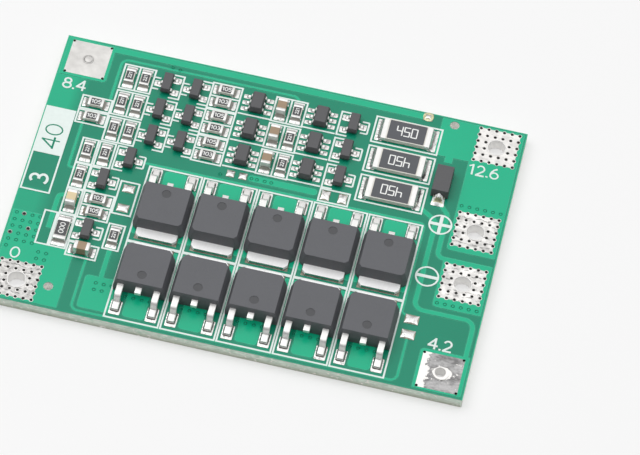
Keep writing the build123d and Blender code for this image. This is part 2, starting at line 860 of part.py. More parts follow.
def small_lead(case_width, span):
    """Gull-wing lead that leaves the case towards +X and ends in a foot on its pad."""
    t = small_lead_thickness
    high = small_standoff + (small_case_height - small_standoff) / 2
    inner = case_width / 2
    tip = span / 2
    knee = tip - small_lead_foot
    with BuildPart() as lead:
        with BuildSketch(Plane.XZ.offset(-small_lead_width / 2)):
            with BuildLine():
                Polyline(
                    (inner, high),
                    (inner, high - t),
                    (knee - t, high - t),
                    (knee, 0),
                    (tip, 0),
                    (tip, t),
                    (knee + t, t),
                    (knee, high),
                    close=True,
                )
            make_face()
        extrude(amount=small_lead_width)
    return lead.part


transistor_case = small_case(small_case_width)
ic_case = small_case(ic_case_width)
transistor_lead = small_lead(small_case_width, small_span)
ic_lead = small_lead(ic_case_width, ic_span)


def small_lead_places(spots):
    """Single lead on one side, pair on the other."""
    ends = [Location((0, 0, 0), (0, 0, 180))]
    ends += [Location((0, s * small_lead_pitch / 2, 0)) for s in (-1, 1)]
    return [spot * end for spot in spots for end in ends]


def ic_lead_places(spots):
    """Three leads on each side."""
    ends = [
        Location((0, n * ic_lead_pitch, 0), (0, 0, turn)) for turn in (0, 180) for n in (-1, 0, 1)
    ]
    return [spot * end for spot in spots for end in ends]


# The three channels
for n in range(channel_count):
    name = f"channel_{n + 1}"
    write_copies(chip_resistor, f"{name}_resistors", chips[n])
    write_copies(ceramic_capacitor, f"{name}_capacitor", [capacitors[n]])
    write_copies(transistor_case, f"{name}_transistors", transistors[n])
    write_copies(ic_case, f"{name}_protection_chip", [protection_chips[n]])
    write_copies(ic_case, f"{name}_balance_chip", [balance_chips[n]])
    with BuildPart() as channel_leads:
        with Locations(*[Location((0, 0, seat)) * s for s in small_lead_places(transistors[n])]):
            add(transistor_lead)
        ic_places = ic_lead_places([protection_chips[n], balance_chips[n]])
        with Locations(*[Location((0, 0, seat)) * s for s in ic_places]):
            add(ic_lead)
    write(channel_leads, f"{name}_leads")
    write_copies(balance_resistor, f"balance_resistor_{n + 1}", [balance_spots[n]])

# The control parts
write_copies(chip_resistor, "control_resistors", control_chips)
write_copies(ceramic_capacitor, "control_capacitors", control_capacitors)
write_copies(transistor_case, "control_transistors", control_transistors)
write_copies(transistor_lead, "control_leads", small_lead_places(control_transistors))
write_copies(link_resistor, "link_resistor", [link_spot])

# Power transistor: its origin is the middle of its underside, and its leads point along +Y
half_width = mosfet_width / 2
half_length = mosfet_length / 2


def case_outline(height, side, end):
    """Outline of the case at a height, drawn in by the slope of its sides and ends."""
    x = half_width - side
    y = half_length - end
    cut = mosfet_corner
    with BuildSketch(Plane.XY.offset(height)) as outline:
        with BuildLine():
            Polyline((-x, y), (x, y), (x, cut - y), (x - cut, -y), (cut - x, -y), (-x, cut - y), close=True)
        make_face()
    return outline.sketch


lead_top = lead_level + metal_thickness
foot_start = lead_reach - lead_foot
with BuildPart() as outer_leads:
    for side in (-1, 1):
        with BuildSketch(Plane.YZ.offset(side * lead_pitch / 2 - lead_width / 2)):
            with BuildLine():
                Polyline(
                    (half_length - lead_root, lead_level),
                    (half_length + lead_drop_start, lead_level),
                    (half_length + foot_start - metal_thickness / 4, 0),
                    (half_length + lead_reach, 0),
                    (half_length + lead_reach, metal_thickness),
                    (half_length + foot_start + metal_thickness / 4, metal_thickness),
                    (half_length + lead_drop_start + metal_thickness / 2, lead_top),
                    (half_length - lead_root, lead_top),
                    close=True,
                )
            make_face()
        extrude(amount=lead_width)

# The tab runs under the case, rises inside it and ends in the cut middle lead
riser_y = half_length - 2 * lead_root
with BuildPart() as drain:
    with BuildSketch():
        with Locations((0, riser_y - (riser_y + half_length + tab_reach) / 2)):
            Rectangle(tab_width, riser_y + half_length + tab_reach)
        chamfer(
            [v for v in vertices() if v.Y < -half_length], length=tab_corner
        )
    extrude(amount=metal_thickness)
    with BuildSketch():
        with Locations((0, riser_y - metal_thickness / 2)):
            Rectangle(lead_width, metal_thickness)
    extrude(amount=lead_top)
    with BuildSketch(Plane.XY.offset(lead_level)):
        with Locations((0, (riser_y + half_length + stub_reach) / 2 - metal_thickness / 2)):
            Rectangle(lead_width, half_length + stub_reach - riser_y + metal_thickness)
    extrude(amount=metal_thickness)

with BuildPart() as leadframe:
    add(outer_leads.part)
    add(drain.part)

with BuildPart() as mosfet_case:
    extrude(case_outline(0, 0, 0), amount=mosfet_waist)
    waist_outline = case_outline(mosfet_waist, 0, 0)
    loft([waist_outline, case_outline(mosfet_height, mosfet_side_slope, mosfet_end_slope)])
    with BuildSketch(Plane.XY.offset(mosfet_height)):
        with Locations((0, half_length - mosfet_mark_inset)):
            Circle(mosfet_mark_radius)
    extrude(amount=-mosfet_mark_depth, mode=Mode.SUBTRACT)
    add(leadframe.part, mode=Mode.SUBTRACT)

for n, spot in enumerate(mosfet_spots):
    write_copies(mosfet_case.part, f"mosfet_{n + 1}_case", [spot])
    write_copies(leadframe.part, f"mosfet_{n + 1}_leadframe", [spot])

# Diode along X in its own frame, with a strap down each end
with BuildPart() as diode_case:
    with BuildSketch():
        Rectangle(diode_length, diode_width)
    extrude(amount=diode_waist)
    with BuildSketch(Plane.XY.offset(diode_waist)):
        Rectangle(diode_length, diode_width)
    with BuildSketch(Plane.XY.offset(diode_height)):
        Rectangle(diode_length - 2 * diode_slope, diode_width - 2 * diode_slope)
    loft()
with BuildPart() as strap:
    with BuildSketch(Plane.XZ.offset(-strap_width / 2)):
        with BuildLine():
            end = diode_length / 2
            Polyline(
                (end, 0),
                (end + strap_foot, 0),
                (end + strap_foot, strap_thickness),
                (end + strap_thickness, strap_thickness),
                (end + strap_thickness, diode_waist),
                (end, diode_waist),
                close=True,
            )
        make_face()
    extrude(amount=strap_width)
write_copies(diode_case.part, "diode_case", [diode_spot])
strap_turns = [Location((0, 0, 0)), Location((0, 0, 0), (0, 0, 180))]
write_copies(strap.part, "diode_leads", [diode_spot * turn for turn in strap_turns])
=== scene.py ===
"""Looks of a battery management board: finishes, solder, cases, chips and print round its fixed frame."""
import math

import bmesh
import bpy
from bpy.props import FloatProperty, FloatVectorProperty, PointerProperty
from mathutils import Matrix, Vector


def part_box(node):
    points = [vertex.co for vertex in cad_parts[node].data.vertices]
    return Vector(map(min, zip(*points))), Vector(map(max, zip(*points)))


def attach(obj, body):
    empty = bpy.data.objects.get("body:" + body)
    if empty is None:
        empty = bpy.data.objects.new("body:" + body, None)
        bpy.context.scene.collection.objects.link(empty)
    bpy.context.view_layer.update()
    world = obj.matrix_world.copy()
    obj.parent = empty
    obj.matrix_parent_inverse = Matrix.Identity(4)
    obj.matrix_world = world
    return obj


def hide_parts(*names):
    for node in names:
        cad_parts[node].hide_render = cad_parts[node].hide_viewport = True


bl_info = {
    "name": "Battery Management Board",
    "version": (1, 0, 0),
    "blender": (4, 5, 0),
    "location": "View3D > Sidebar > Board",
    "description": "Finishes, solder, cases and print of a battery management board",
    "category": "Object",
}

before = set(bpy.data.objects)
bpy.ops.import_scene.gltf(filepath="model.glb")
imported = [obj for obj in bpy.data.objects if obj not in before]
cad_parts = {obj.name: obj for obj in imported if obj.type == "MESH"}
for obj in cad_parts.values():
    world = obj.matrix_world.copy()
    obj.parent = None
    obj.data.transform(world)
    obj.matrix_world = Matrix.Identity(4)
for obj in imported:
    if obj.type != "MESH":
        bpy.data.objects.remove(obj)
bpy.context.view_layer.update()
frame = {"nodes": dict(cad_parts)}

MM = 0.001
# places and sizes below are in millimetres
face = 1.6  # top of the laminate
copper_face = 1.64  # top of the mask over copper
land_face = 1.66  # top of the tin on the lands
ink_face = 1.66  # top of the print
seat = 1.68  # underside of the parts
half_long, half_deep = 30.0, 20.5  # from the board's middle to its edges
pitch = 0.95  # between the leads of a small case
outer_pitch = 2.3  # from the middle of a power transistor to its outer leads
in_row = 5  # power transistors in each of their two rows
power_lands = ("battery_minus", "battery_plus", "output_plus", "output_minus")
groups = ("channel_1", "channel_2", "channel_3", "control")
capacitor_nodes = ("channel_1_capacitor", "channel_2_capacitor", "channel_3_capacitor", "control_capacitors")


def tint(code):
    """Linear colour with full opacity from an sRGB hex code."""
    parts = [int(code[n : n + 2], 16) / 255 for n in (0, 2, 4)]
    linear = (p / 12.92 if p <= 0.04045 else ((p + 0.055) / 1.055) ** 2.4 for p in parts)
    return (*linear, 1.0)


def shade(base, factor):
    """A linear colour, darker or lighter."""
    return (*(min(1, part * factor) for part in base[:3]), 1.0)


def colour(label, what, code):
    """A colour that a user may change."""
    return FloatVectorProperty(
        name=label, description=what, subtype="COLOR", size=4, min=0, max=1, default=tint(code)
    )


def length(label, what, millimetres):
    """A length that a user may change."""
    return FloatProperty(
        name=label, description=what, default=millimetres * MM, min=0, precision=6, unit="LENGTH"
    )


class BoardFinish(bpy.types.PropertyGroup):
    """Colours of the board and of what stands on it."""

    mask_on_copper: colour("Mask over copper", "Green mask where copper lies under it", "0eb186")
    mask_on_laminate: colour("Mask over laminate", "Green mask over bare laminate", "0a8668")
    laminate: colour("Laminate edge", "Sawn edge of the glass-fibre board", "eaf8ea")
    ink: colour("Legend ink", "White printing ink", "e8f3ef")
    tin: colour("Tinned land", "Hot-air levelled tin on the lands", "e6e4e1")
    rough: colour("Hand solder", "Dull solder left by an iron", "a9a8a8")
    stain: colour("Flux stain", "Browned flux on the rims of pads", "827f72")
    solder: colour("Solder", "Reflowed solder", "d8d7d5")
    lead: colour("Leads", "Tin-plated leads and tabs", "eeedeb")
    moulding: colour("Power cases", "Moulded epoxy of the power transistors", "5b5c60")
    small_moulding: colour("Small cases", "Moulded epoxy of the small cases", "545456")
    coat: colour("Resistor coat", "Dark glass coat on the small resistors", "454648")
    slate: colour("Large resistor coat", "Dark glass coat on the balance resistors", "505257")
    alumina: colour("Alumina", "Pale ceramic of the resistors", "dedbd3")
    capacitor: colour("Capacitor", "Brown ceramic of the capacitors", "9d866d")
    cream: colour("Pale capacitor", "Cream ceramic of one capacitor", "ddcaa2")
    value: colour("Value digits", "Pale digits on the resistors", "f0f1ef")


class PartShapes(bpy.types.PropertyGroup):
    """Sizes of the fine shapes that the looks add."""

    case_edge: length("Power case edge", "Rounding of the power cases' edges", 0.04)
    small_edge: length("Small case edge", "Rounding of the small cases' edges", 0.05)
    chip_edge: length("Chip edge", "Rounding of the chips' plated ends", 0.06)
    via_ring: length("Covered via", "Radius of the raised mask round a covered via", 0.28)
    pad_rim: length("Solder rim", "Thickness of the solder at the rim of a pad", 0.05)
    digit_height: length("Label height", "Height of the digits beside the lands", 1.5)


class StageSetup(bpy.types.PropertyGroup):
    """Camera, floor and lights."""

    camera: FloatVectorProperty(
        name="Camera", description="Camera place", subtype="TRANSLATION", unit="LENGTH",
        default=(0.04952, -0.28478, 0.42085),
    )
    lens: FloatProperty(name="Lens", description="Focal length", default=230.2, min=20, unit="CAMERA")
    floor: colour("Floor", "Pale studio floor", "f4f4f4")
    sky: FloatProperty(name="Sky", description="Strength of the light from all round", default=1.11, min=0)
    key: FloatProperty(
        name="Key light", description="Strength of the large lamp", default=1.2, min=0, unit="POWER"
    )


# Materials


def add(tree, kind, sockets=None, **settings):
    """Add a node with its settings; sockets maps an input to a value, node or output that feeds it."""
    made = tree.nodes.new(kind)
    for name, value in settings.items():
        setattr(made, name, value)
    for name, value in (sockets or {}).items():
        if isinstance(value, bpy.types.Node):
            value = next(output for output in value.outputs if output.enabled)
        if isinstance(value, bpy.types.NodeSocket):
            tree.links.new(value, made.inputs[name])
        else:
            made.inputs[name].default_value = value
    return made


def start(name):
    """A new material's empty node tree, and object coordinates in millimetres for its patterns."""
    made = bpy.data.materials.new(name)
    made.use_nodes = True
    tree = made.node_tree
    tree.nodes.clear()
    spot = add(tree, "ShaderNodeTexCoord").outputs["Object"]
    return tree, add(tree, "ShaderNodeMapping", {"Vector": spot, "Scale": (1000, 1000, 1000)})


def walls(tree):
    """One on upright walls and nothing on level faces."""
    normal = add(tree, "ShaderNodeNewGeometry").outputs["Normal"]
    upright = add(tree, "ShaderNodeSeparateXYZ", {0: normal}).outputs["Z"]
    upright = add(tree, "ShaderNodeMath", {0: upright}, operation="ABSOLUTE")
    return add(tree, "ShaderNodeMapRange", {0: upright, 1: 0.3, 2: 0.55, 3: 1.0, 4: 0.0})


def mask_and_laminate(looks):
    """Glossy sprayed solder mask; the sawn sides show grey-green glass fibre in resin."""
    tree, spot = start("solder_mask")
    place = add(tree, "ShaderNodeSeparateXYZ", {0: spot})
    x, y, height = place.outputs["X"], place.outputs["Y"], place.outputs["Z"]
    flow = add(tree, "ShaderNodeTexNoise", {"Vector": spot, "Scale": 0.11, "Detail": 3})
    light, dark = looks.mask_on_copper, looks.mask_on_laminate
    copper = {0: flow, 6: shade(light, 0.94), 7: shade(light, 1.06)}
    copper = add(tree, "ShaderNodeMix", copper, data_type="RGBA")
    bare = {0: flow, 6: shade(dark, 0.92), 7: shade(dark, 1.08)}
    bare = add(tree, "ShaderNodeMix", bare, data_type="RGBA")
    raised = add(tree, "ShaderNodeMapRange", {0: height, 1: face + 0.01, 2: copper_face - 0.01})
    # the mask's rim is painted light, a painted highlight along the board's edges where the mask is also
    # thin, and copper inside the board shows through near the left side
    across = add(tree, "ShaderNodeMath", {0: x}, operation="ABSOLUTE")
    across = add(tree, "ShaderNodeMapRange", {0: across, 1: half_long - 0.14, 2: half_long - 0.1})
    behind = add(tree, "ShaderNodeMapRange", {0: y, 1: half_deep - 0.14, 2: half_deep - 0.1})
    left = add(tree, "ShaderNodeMapRange", {0: x, 1: -25.4, 2: -27.4, 4: 0.85})
    upper = add(tree, "ShaderNodeMapRange", {0: y, 1: 8.3, 2: 8.8})
    lower = add(tree, "ShaderNodeMapRange", {0: y, 1: -3.4, 2: -4.2, 4: 0.7})
    ends = add(tree, "ShaderNodeMath", {0: upper, 1: lower}, operation="MAXIMUM")
    below = add(tree, "ShaderNodeMath", {0: left, 1: ends}, operation="MULTIPLY")
    for more in (across, behind, below):
        raised = add(tree, "ShaderNodeMath", {0: raised, 1: more}, operation="MAXIMUM")
    mask = add(tree, "ShaderNodeMix", {0: raised, 6: bare, 7: copper}, data_type="RGBA")
    # it runs round over the edges of the copper, thin enough there to let the metal shine through; the
    # lighter line painted along those edges is partly that and partly a painted highlight
    flowed = add(tree, "ShaderNodeBevel", {"Radius": 0.2 * MM}, samples=4)
    flat = add(tree, "ShaderNodeNewGeometry").outputs["Normal"]
    thin = add(tree, "ShaderNodeVectorMath", {0: flowed, 1: flat}, operation="DOT_PRODUCT")
    thin = add(tree, "ShaderNodeMapRange", {0: thin.outputs["Value"], 1: 0.9995, 2: 0.99, 4: 0.7})
    mask = add(tree, "ShaderNodeMix", {0: thin, 6: mask, 7: tint("58cfa8")}, data_type="RGBA")
    # cloth lies in layers about 0.2 mm thick; its fibres are drawn 0.3 mm long so that they show
    cloth = add(tree, "ShaderNodeMapping", {"Vector": spot, "Scale": (0.16, 0.16, 1)})
    layers = {"Vector": cloth, "Scale": 6.0, "Detail": 3, "Roughness": 0.65}
    layers = add(tree, "ShaderNodeTexNoise", layers)
    chips = add(tree, "ShaderNodeTexNoise", {"Vector": spot, "Scale": 1.4, "Detail": 3})
    streaks = add(tree, "ShaderNodeMapRange", {0: layers, 1: 0.35, 2: 0.68})
    fibre = {0: streaks, 6: shade(looks.laminate, 0.72), 7: looks.laminate}
    fibre = add(tree, "ShaderNodeMix", fibre, data_type="RGBA")
    smear = add(tree, "ShaderNodeMapRange", {0: chips, 1: 0.52, 2: 0.72, 4: 0.5})
    fibre = add(tree, "ShaderNodeMix", {0: smear, 6: fibre, 7: tint("a9cdb4")}, data_type="RGBA")
    # the sawn sides get darker and browner towards the bottom, and the short sides are painted pale, a
    # painted highlight where they catch the light
    clean = add(tree, "ShaderNodeMapRange", {0: height, 1: 0.0, 2: 0.9, 3: 0.4, 4: 1.0})
    fibre = add(tree, "ShaderNodeMix", {0: clean, 6: tint("a09a82"), 7: fibre}, data_type="RGBA")
    splinters = add(tree, "ShaderNodeMapping", {"Vector": spot, "Scale": (1.0, 1.0, 2.0)})
    splinters = add(tree, "ShaderNodeTexNoise", {"Vector": splinters, "Scale": 1.5, "Detail": 2})
    splinters = add(tree, "ShaderNodeMapRange", {0: splinters, 1: 0.63, 2: 0.67, 4: 0.9})
    fibre = add(tree, "ShaderNodeMix", {0: splinters, 6: fibre, 7: tint("fdf8f2")}, data_type="RGBA")
    fibre = add(tree, "ShaderNodeMix", {0: across, 6: fibre, 7: tint("e6eee2")}, data_type="RGBA")
    # drilled walls are painted near-white: pale in themselves, and partly painted light for the light that
    # reaches into the holes
    inside_x = add(tree, "ShaderNodeMath", {0: x, 1: 0, 2: half_long - 0.1}, operation="COMPARE")
    inside_y = add(tree, "ShaderNodeMath", {0: y, 1: 0, 2: half_deep - 0.1}, operation="COMPARE")
    drilled = add(tree, "ShaderNodeMath", {0: inside_x, 1: inside_y}, operation="MULTIPLY")
    fibre = add(tree, "ShaderNodeMix", {0: drilled, 6: fibre, 7: tint("fbfaf6")}, data_type="RGBA")
    under = {0: height, 1: face - 0.07, 2: face - 0.02, 3: 1.0, 4: 0.0}
    under = add(tree, "ShaderNodeMapRange", under)
    sawn = add(tree, "ShaderNodeMath", {0: walls(tree), 1: under}, operation="MULTIPLY")
    wave = add(tree, "ShaderNodeTexNoise", {"Vector": spot, "Scale": 0.4, "Detail": 2})
    wave = add(tree, "ShaderNodeMath", {0: wave, 1: 0.16}, operation="MULTIPLY")
    teeth = add(tree, "ShaderNodeMath", {0: layers, 1: sawn}, operation="MULTIPLY")
    relief_height = add(tree, "ShaderNodeMath", {0: wave, 1: teeth}, operation="ADD")
    bump = {"Height": relief_height, "Distance": 0.05 * MM, "Normal": flowed}
    sockets = {
        "Base Color": add(tree, "ShaderNodeMix", {0: sawn, 6: mask, 7: fibre}, data_type="RGBA"),
        "Roughness": add(tree, "ShaderNodeMapRange", {0: sawn, 3: 0.26, 4: 0.8}),
        "IOR": 1.5,
        "Specular IOR Level": 0.35,
        "Normal": add(tree, "ShaderNodeBump", bump),
    }
    add(tree, "ShaderNodeOutputMaterial", {"Surface": add(tree, "ShaderNodeBsdfPrincipled", sockets)})


def plain_mask(name, code, low, high):
    """Solder mask in one thickness: light on a via's raised ring, dark where it sank in, plain beside ink."""
    tree, spot = start(name)
    flow = add(tree, "ShaderNodeTexNoise", {"Vector": spot, "Scale": 1.2, "Detail": 2})
    tone = {0: flow, 6: shade(code, low), 7: shade(code, high)}
    tone = add(tree, "ShaderNodeMix", tone, data_type="RGBA")
    sockets = {"Base Color": tone, "Roughness": 0.3, "IOR": 1.5, "Specular IOR Level": 0.2}
    add(tree, "ShaderNodeOutputMaterial", {"Surface": add(tree, "ShaderNodeBsdfPrincipled", sockets)})


def printing_ink(looks):
    """Screen-printed epoxy ink: flat white with the faint grain of the screen."""
    tree, spot = start("printed_ink")
    thin = add(tree, "ShaderNodeTexNoise", {"Vector": spot, "Scale": 2.0})
    screen = add(tree, "ShaderNodeTexNoise", {"Vector": spot, "Scale": 8.0})
    tone = {0: thin, 6: shade(looks.ink, 0.9), 7: looks.ink}
    sockets = {
        "Base Color": add(tree, "ShaderNodeMix", tone, data_type="RGBA"),
        "Roughness": 0.55,
        "IOR": 1.5,
        "Normal": add(tree, "ShaderNodeBump", {"Height": screen, "Distance": 0.004 * MM}),
    }
    add(tree, "ShaderNodeOutputMaterial", {"Surface": add(tree, "ShaderNodeBsdfPrincipled", sockets)})


def levelled_tin(name, base, darkest, patch, rough, wrinkled=0.0):
    """Tin levelled by hot air, clean or stained, some painted darker as shade: uneven, in patches of that
    width, with wrinkles.
    """
    tree, spot = start(name)
    patches = {"Vector": spot, "Scale": 1 / patch, "Detail": 4, "Roughness": 0.6}
    patches = add(tree, "ShaderNodeTexNoise", patches)
    bright = add(tree, "ShaderNodeMapRange", {0: patches, 1: 0.35, 2: 0.62})
    ripple = add(tree, "ShaderNodeTexNoise", {"Vector": spot, "Scale": 2.2, "Detail": 3})
    tone = add(tree, "ShaderNodeMix", {0: bright, 6: darkest, 7: base}, data_type="RGBA")
    # the tin froze in wrinkles about 0.8 mm apart, that break off and start again
    folds = {"Vector": spot, "Scale": 0.4, "Distortion": 5.0, "Detail": 3, "Detail Scale": 2.5}
    folds = add(tree, "ShaderNodeTexWave", folds, bands_direction="Y")
    folds = add(tree, "ShaderNodeMapRange", {0: folds, 1: 0.86, 2: 0.99, 4: wrinkled})
    broken = add(tree, "ShaderNodeMapRange", {0: ripple, 1: 0.46, 2: 0.54})
    folds = add(tree, "ShaderNodeMath", {0: folds, 1: broken}, operation="MULTIPLY")
    tone = add(tree, "ShaderNodeMix", {0: folds, 6: tone, 7: shade(darkest, 0.3)}, data_type="RGBA")
    # the plating in a bore is matte and scatters the light down to its foot; its near-white is partly painted
    # light, to brighten the bore
    barrel = walls(tree)
    tone = add(tree, "ShaderNodeMix", {0: barrel, 6: tone, 7: tint("f6f5f3")}, data_type="RGBA")
    shine = {0: patches, 1: 0.3, 2: 0.7, 3: rough + 0.1, 4: rough - 0.05}
    sockets = {
        "Base Color": tone,
        "Metallic": add(tree, "ShaderNodeMapRange", {0: barrel, 3: 1.0, 4: 0.1}),
        "Roughness": add(tree, "ShaderNodeMapRange", shine),
        "Normal": add(tree, "ShaderNodeBump", {"Height": ripple, "Distance": 0.02 * MM}),
    }
    add(tree, "ShaderNodeOutputMaterial", {"Surface": add(tree, "ShaderNodeBsdfPrincipled", sockets)})


def hand_soldered_tin(looks):
    """Tin with a coarse grey skin of cold solder right of a ragged border, bright round its hole."""
    tree, spot = start("hand_soldered_tin")
    place = add(tree, "ShaderNodeSeparateXYZ", {0: spot})
    ragged = {"Vector": spot, "Scale": 0.9, "Detail": 5, "Roughness": 0.7}
    ragged = add(tree, "ShaderNodeTexNoise", ragged)
    ragged = add(tree, "ShaderNodeMapRange", {0: ragged, 1: 0.3, 2: 0.7, 3: -0.7, 4: 0.7})
    border = add(tree, "ShaderNodeMath", {0: place.outputs["X"], 1: ragged}, operation="ADD")
    skin = add(tree, "ShaderNodeMapRange", {0: border, 1: 24.96, 2: 25.04})
    # the ring is an oval, longer to the right, that the iron left smooth
    wide, tall = 1.2, 0.95
    oval = {"Vector": spot, "Location": (-26.85 / wide, 17.45 / tall, 0), "Scale": (1 / wide, 1 / tall, 0)}
    oval = add(tree, "ShaderNodeMapping", oval)
    oval = add(tree, "ShaderNodeVectorMath", {0: oval}, operation="LENGTH").outputs["Value"]
    oval = add(tree, "ShaderNodeMath", {0: ragged, 1: 0.18, 2: oval}, operation="MULTIPLY_ADD")
    away = add(tree, "ShaderNodeMapRange", {0: oval, 1: 0.98, 2: 1.05})
    dull = add(tree, "ShaderNodeMath", {0: skin, 1: away}, operation="MULTIPLY")
    lines = add(tree, "ShaderNodeMapping", {"Vector": spot, "Scale": (1.8, 4.0, 1)})
    lines = {"Vector": lines, "Scale": 1.0, "Detail": 4, "Roughness": 0.75}
    lines = add(tree, "ShaderNodeTexNoise", lines)
    cloud = add(tree, "ShaderNodeTexNoise", {"Vector": spot, "Scale": 0.7, "Detail": 2})
    tone = add(tree, "ShaderNodeMath", {0: lines, 1: cloud}, operation="ADD")
    tone = add(tree, "ShaderNodeMapRange", {0: tone, 1: 0.82, 2: 1.2})
    grey = {0: tone, 6: shade(looks.rough, 0.5), 7: shade(looks.rough, 1.25)}
    grey = add(tree, "ShaderNodeMix", grey, data_type="RGBA")
    # bare tin shines through in a few drops
    drops = add(tree, "ShaderNodeTexNoise", {"Vector": spot, "Scale": 1.6, "Detail": 2})
    drops = add(tree, "ShaderNodeMapRange", {0: drops, 1: 0.67, 2: 0.7, 3: 1.0, 4: 0.0})
    dull = add(tree, "ShaderNodeMath", {0: dull, 1: drops}, operation="MULTIPLY")
    crust = add(tree, "ShaderNodeMath", {0: lines, 1: dull}, operation="MULTIPLY")
    tone = add(tree, "ShaderNodeMix", {0: dull, 6: looks.tin, 7: grey}, data_type="RGBA")
    # the bore's wall is matte and painted near-white, partly painted light to brighten the bore
    barrel = walls(tree)
    tone = add(tree, "ShaderNodeMix", {0: barrel, 6: tone, 7: tint("f6f5f3")}, data_type="RGBA")
    sockets = {
        "Base Color": tone,
        "Metallic": add(tree, "ShaderNodeMapRange", {0: barrel, 3: 0.85, 4: 0.1}),
        "Roughness": add(tree, "ShaderNodeMapRange", {0: dull, 3: 0.3, 4: 0.5}),
        "Normal": add(tree, "ShaderNodeBump", {"Height": crust, "Distance": 0.06 * MM}),
    }
    add(tree, "ShaderNodeOutputMaterial", {"Surface": add(tree, "ShaderNodeBsdfPrincipled", sockets)})


def reflowed_solder(looks):
    """Solder that ran in the oven: smooth bright metal with small dull spots."""
    tree, spot = start("reflowed_solder")
    spots = add(tree, "ShaderNodeTexNoise", {"Vector": spot, "Scale": 2.8, "Detail": 3})
    bright = add(tree, "ShaderNodeMapRange", {0: spots, 1: 0.3, 2: 0.44})
    wave = add(tree, "ShaderNodeTexNoise", {"Vector": spot, "Scale": 2.4, "Detail": 2})
    dull = shade(looks.solder, 0.5)
    sockets = {
        "Base Color": add(tree, "ShaderNodeMix", {0: bright, 6: dull, 7: looks.solder}, data_type="RGBA"),
        "Metallic": 1.0,
        "Roughness": add(tree, "ShaderNodeMapRange", {0: spots, 1: 0.3, 2: 0.7, 3: 0.26, 4: 0.12}),
        "Normal": add(tree, "ShaderNodeBump", {"Height": wave, "Distance": 0.05 * MM}),
    }
    add(tree, "ShaderNodeOutputMaterial", {"Surface": add(tree, "ShaderNodeBsdfPrincipled", sockets)})


def plated_lead(name, code, metal):
    """Matte tin on stamped copper, or dull solder on it: satin and pale, metallic to that share."""
    tree, spot = start(name)
    drawn = add(tree, "ShaderNodeMapping", {"Vector": spot, "Scale": (1, 0.35, 1)})
    streaks = add(tree, "ShaderNodeTexNoise", {"Vector": drawn, "Scale": 4.0, "Detail": 3})
    tone = {0: streaks, 6: shade(code, 0.88), 7: code}
    sockets = {
        "Base Color": add(tree, "ShaderNodeMix", tone, data_type="RGBA"),
        "Metallic": metal,
        "Roughness": add(tree, "ShaderNodeMapRange", {0: streaks, 1: 0.3, 2: 0.7, 3: 0.42, 4: 0.34}),
        "Normal": add(tree, "ShaderNodeBump", {"Height": streaks, "Distance": 0.006 * MM}),
    }
    add(tree, "ShaderNodeOutputMaterial", {"Surface": add(tree, "ShaderNodeBsdfPrincipled", sockets)})


def cut_metal(looks):
    """Faces that the press sheared: burnished, so that they mirror the board in front of them."""
    tree, spot = start("sheared_metal")
    drag = add(tree, "ShaderNodeMapping", {"Vector": spot, "Scale": (3, 3, 0.4)})
    drag = add(tree, "ShaderNodeTexNoise", {"Vector": drag, "Scale": 2.0, "Detail": 3})
    tone = {0: drag, 6: shade(looks.lead, 0.55), 7: shade(looks.lead, 0.85)}
    sockets = {
        "Base Color": add(tree, "ShaderNodeMix", tone, data_type="RGBA"),
        "Metallic": 1.0,
        "Roughness": 0.14,
        "Normal": add(tree, "ShaderNodeBump", {"Height": drag, "Distance": 0.01 * MM}),
    }
    add(tree, "ShaderNodeOutputMaterial", {"Surface": add(tree, "ShaderNodeBsdfPrincipled", sockets)})


def moulded_epoxy(name, code):
    """Filled epoxy from a spark-eroded mould: dull dark grey with a fine even grain."""
    tree, spot = start(name)
    # the real grit is about 0.05 mm; it is drawn twice as coarse so that it shows
    grit = add(tree, "ShaderNodeTexNoise", {"Vector": spot, "Scale": 9.0})
    cloud = add(tree, "ShaderNodeTexNoise", {"Vector": spot, "Scale": 0.3, "Detail": 3})
    tone = {0: cloud, 6: shade(code, 0.94), 7: shade(code, 1.06)}
    tone = add(tree, "ShaderNodeMix", tone, data_type="RGBA")
    specks = add(tree, "ShaderNodeMapRange", {0: grit, 1: 0.3, 2: 0.7, 4: 0.5})
    sockets = {
        "Base Color": add(tree, "ShaderNodeMix", {0: specks, 6: tone, 7: shade(code, 1.2)}, data_type="RGBA"),
        "Roughness": add(tree, "ShaderNodeMapRange", {0: grit, 1: 0.3, 2: 0.7, 3: 0.66, 4: 0.52}),
        "IOR": 1.5,
        "Normal": add(tree, "ShaderNodeBump", {"Height": grit, "Distance": 0.012 * MM}),
    }
    add(tree, "ShaderNodeOutputMaterial", {"Surface": add(tree, "ShaderNodeBsdfPrincipled", sockets)})


def fired_coat(name, code, rough, cloud_size, spread):
    """Fired glass or ceramic, marking paint or polished epoxy: even, fine and slightly clouded."""
    tree, spot = start(name)
    cloud = add(tree, "ShaderNodeTexNoise", {"Vector": spot, "Scale": 1 / cloud_size, "Detail": 3})
    grain = add(tree, "ShaderNodeTexNoise", {"Vector": spot, "Scale": 8.0})
    low, high = shade(code, 1 - spread), shade(code, 1 + spread)
    sockets = {
        "Base Color": add(tree, "ShaderNodeMix", {0: cloud, 6: low, 7: high}, data_type="RGBA"),
        "Roughness": rough,
        "IOR": 1.5,
        "Normal": add(tree, "ShaderNodeBump", {"Height": grain, "Distance": 0.004 * MM}),
    }
    add(tree, "ShaderNodeOutputMaterial", {"Surface": add(tree, "ShaderNodeBsdfPrincipled", sockets)})


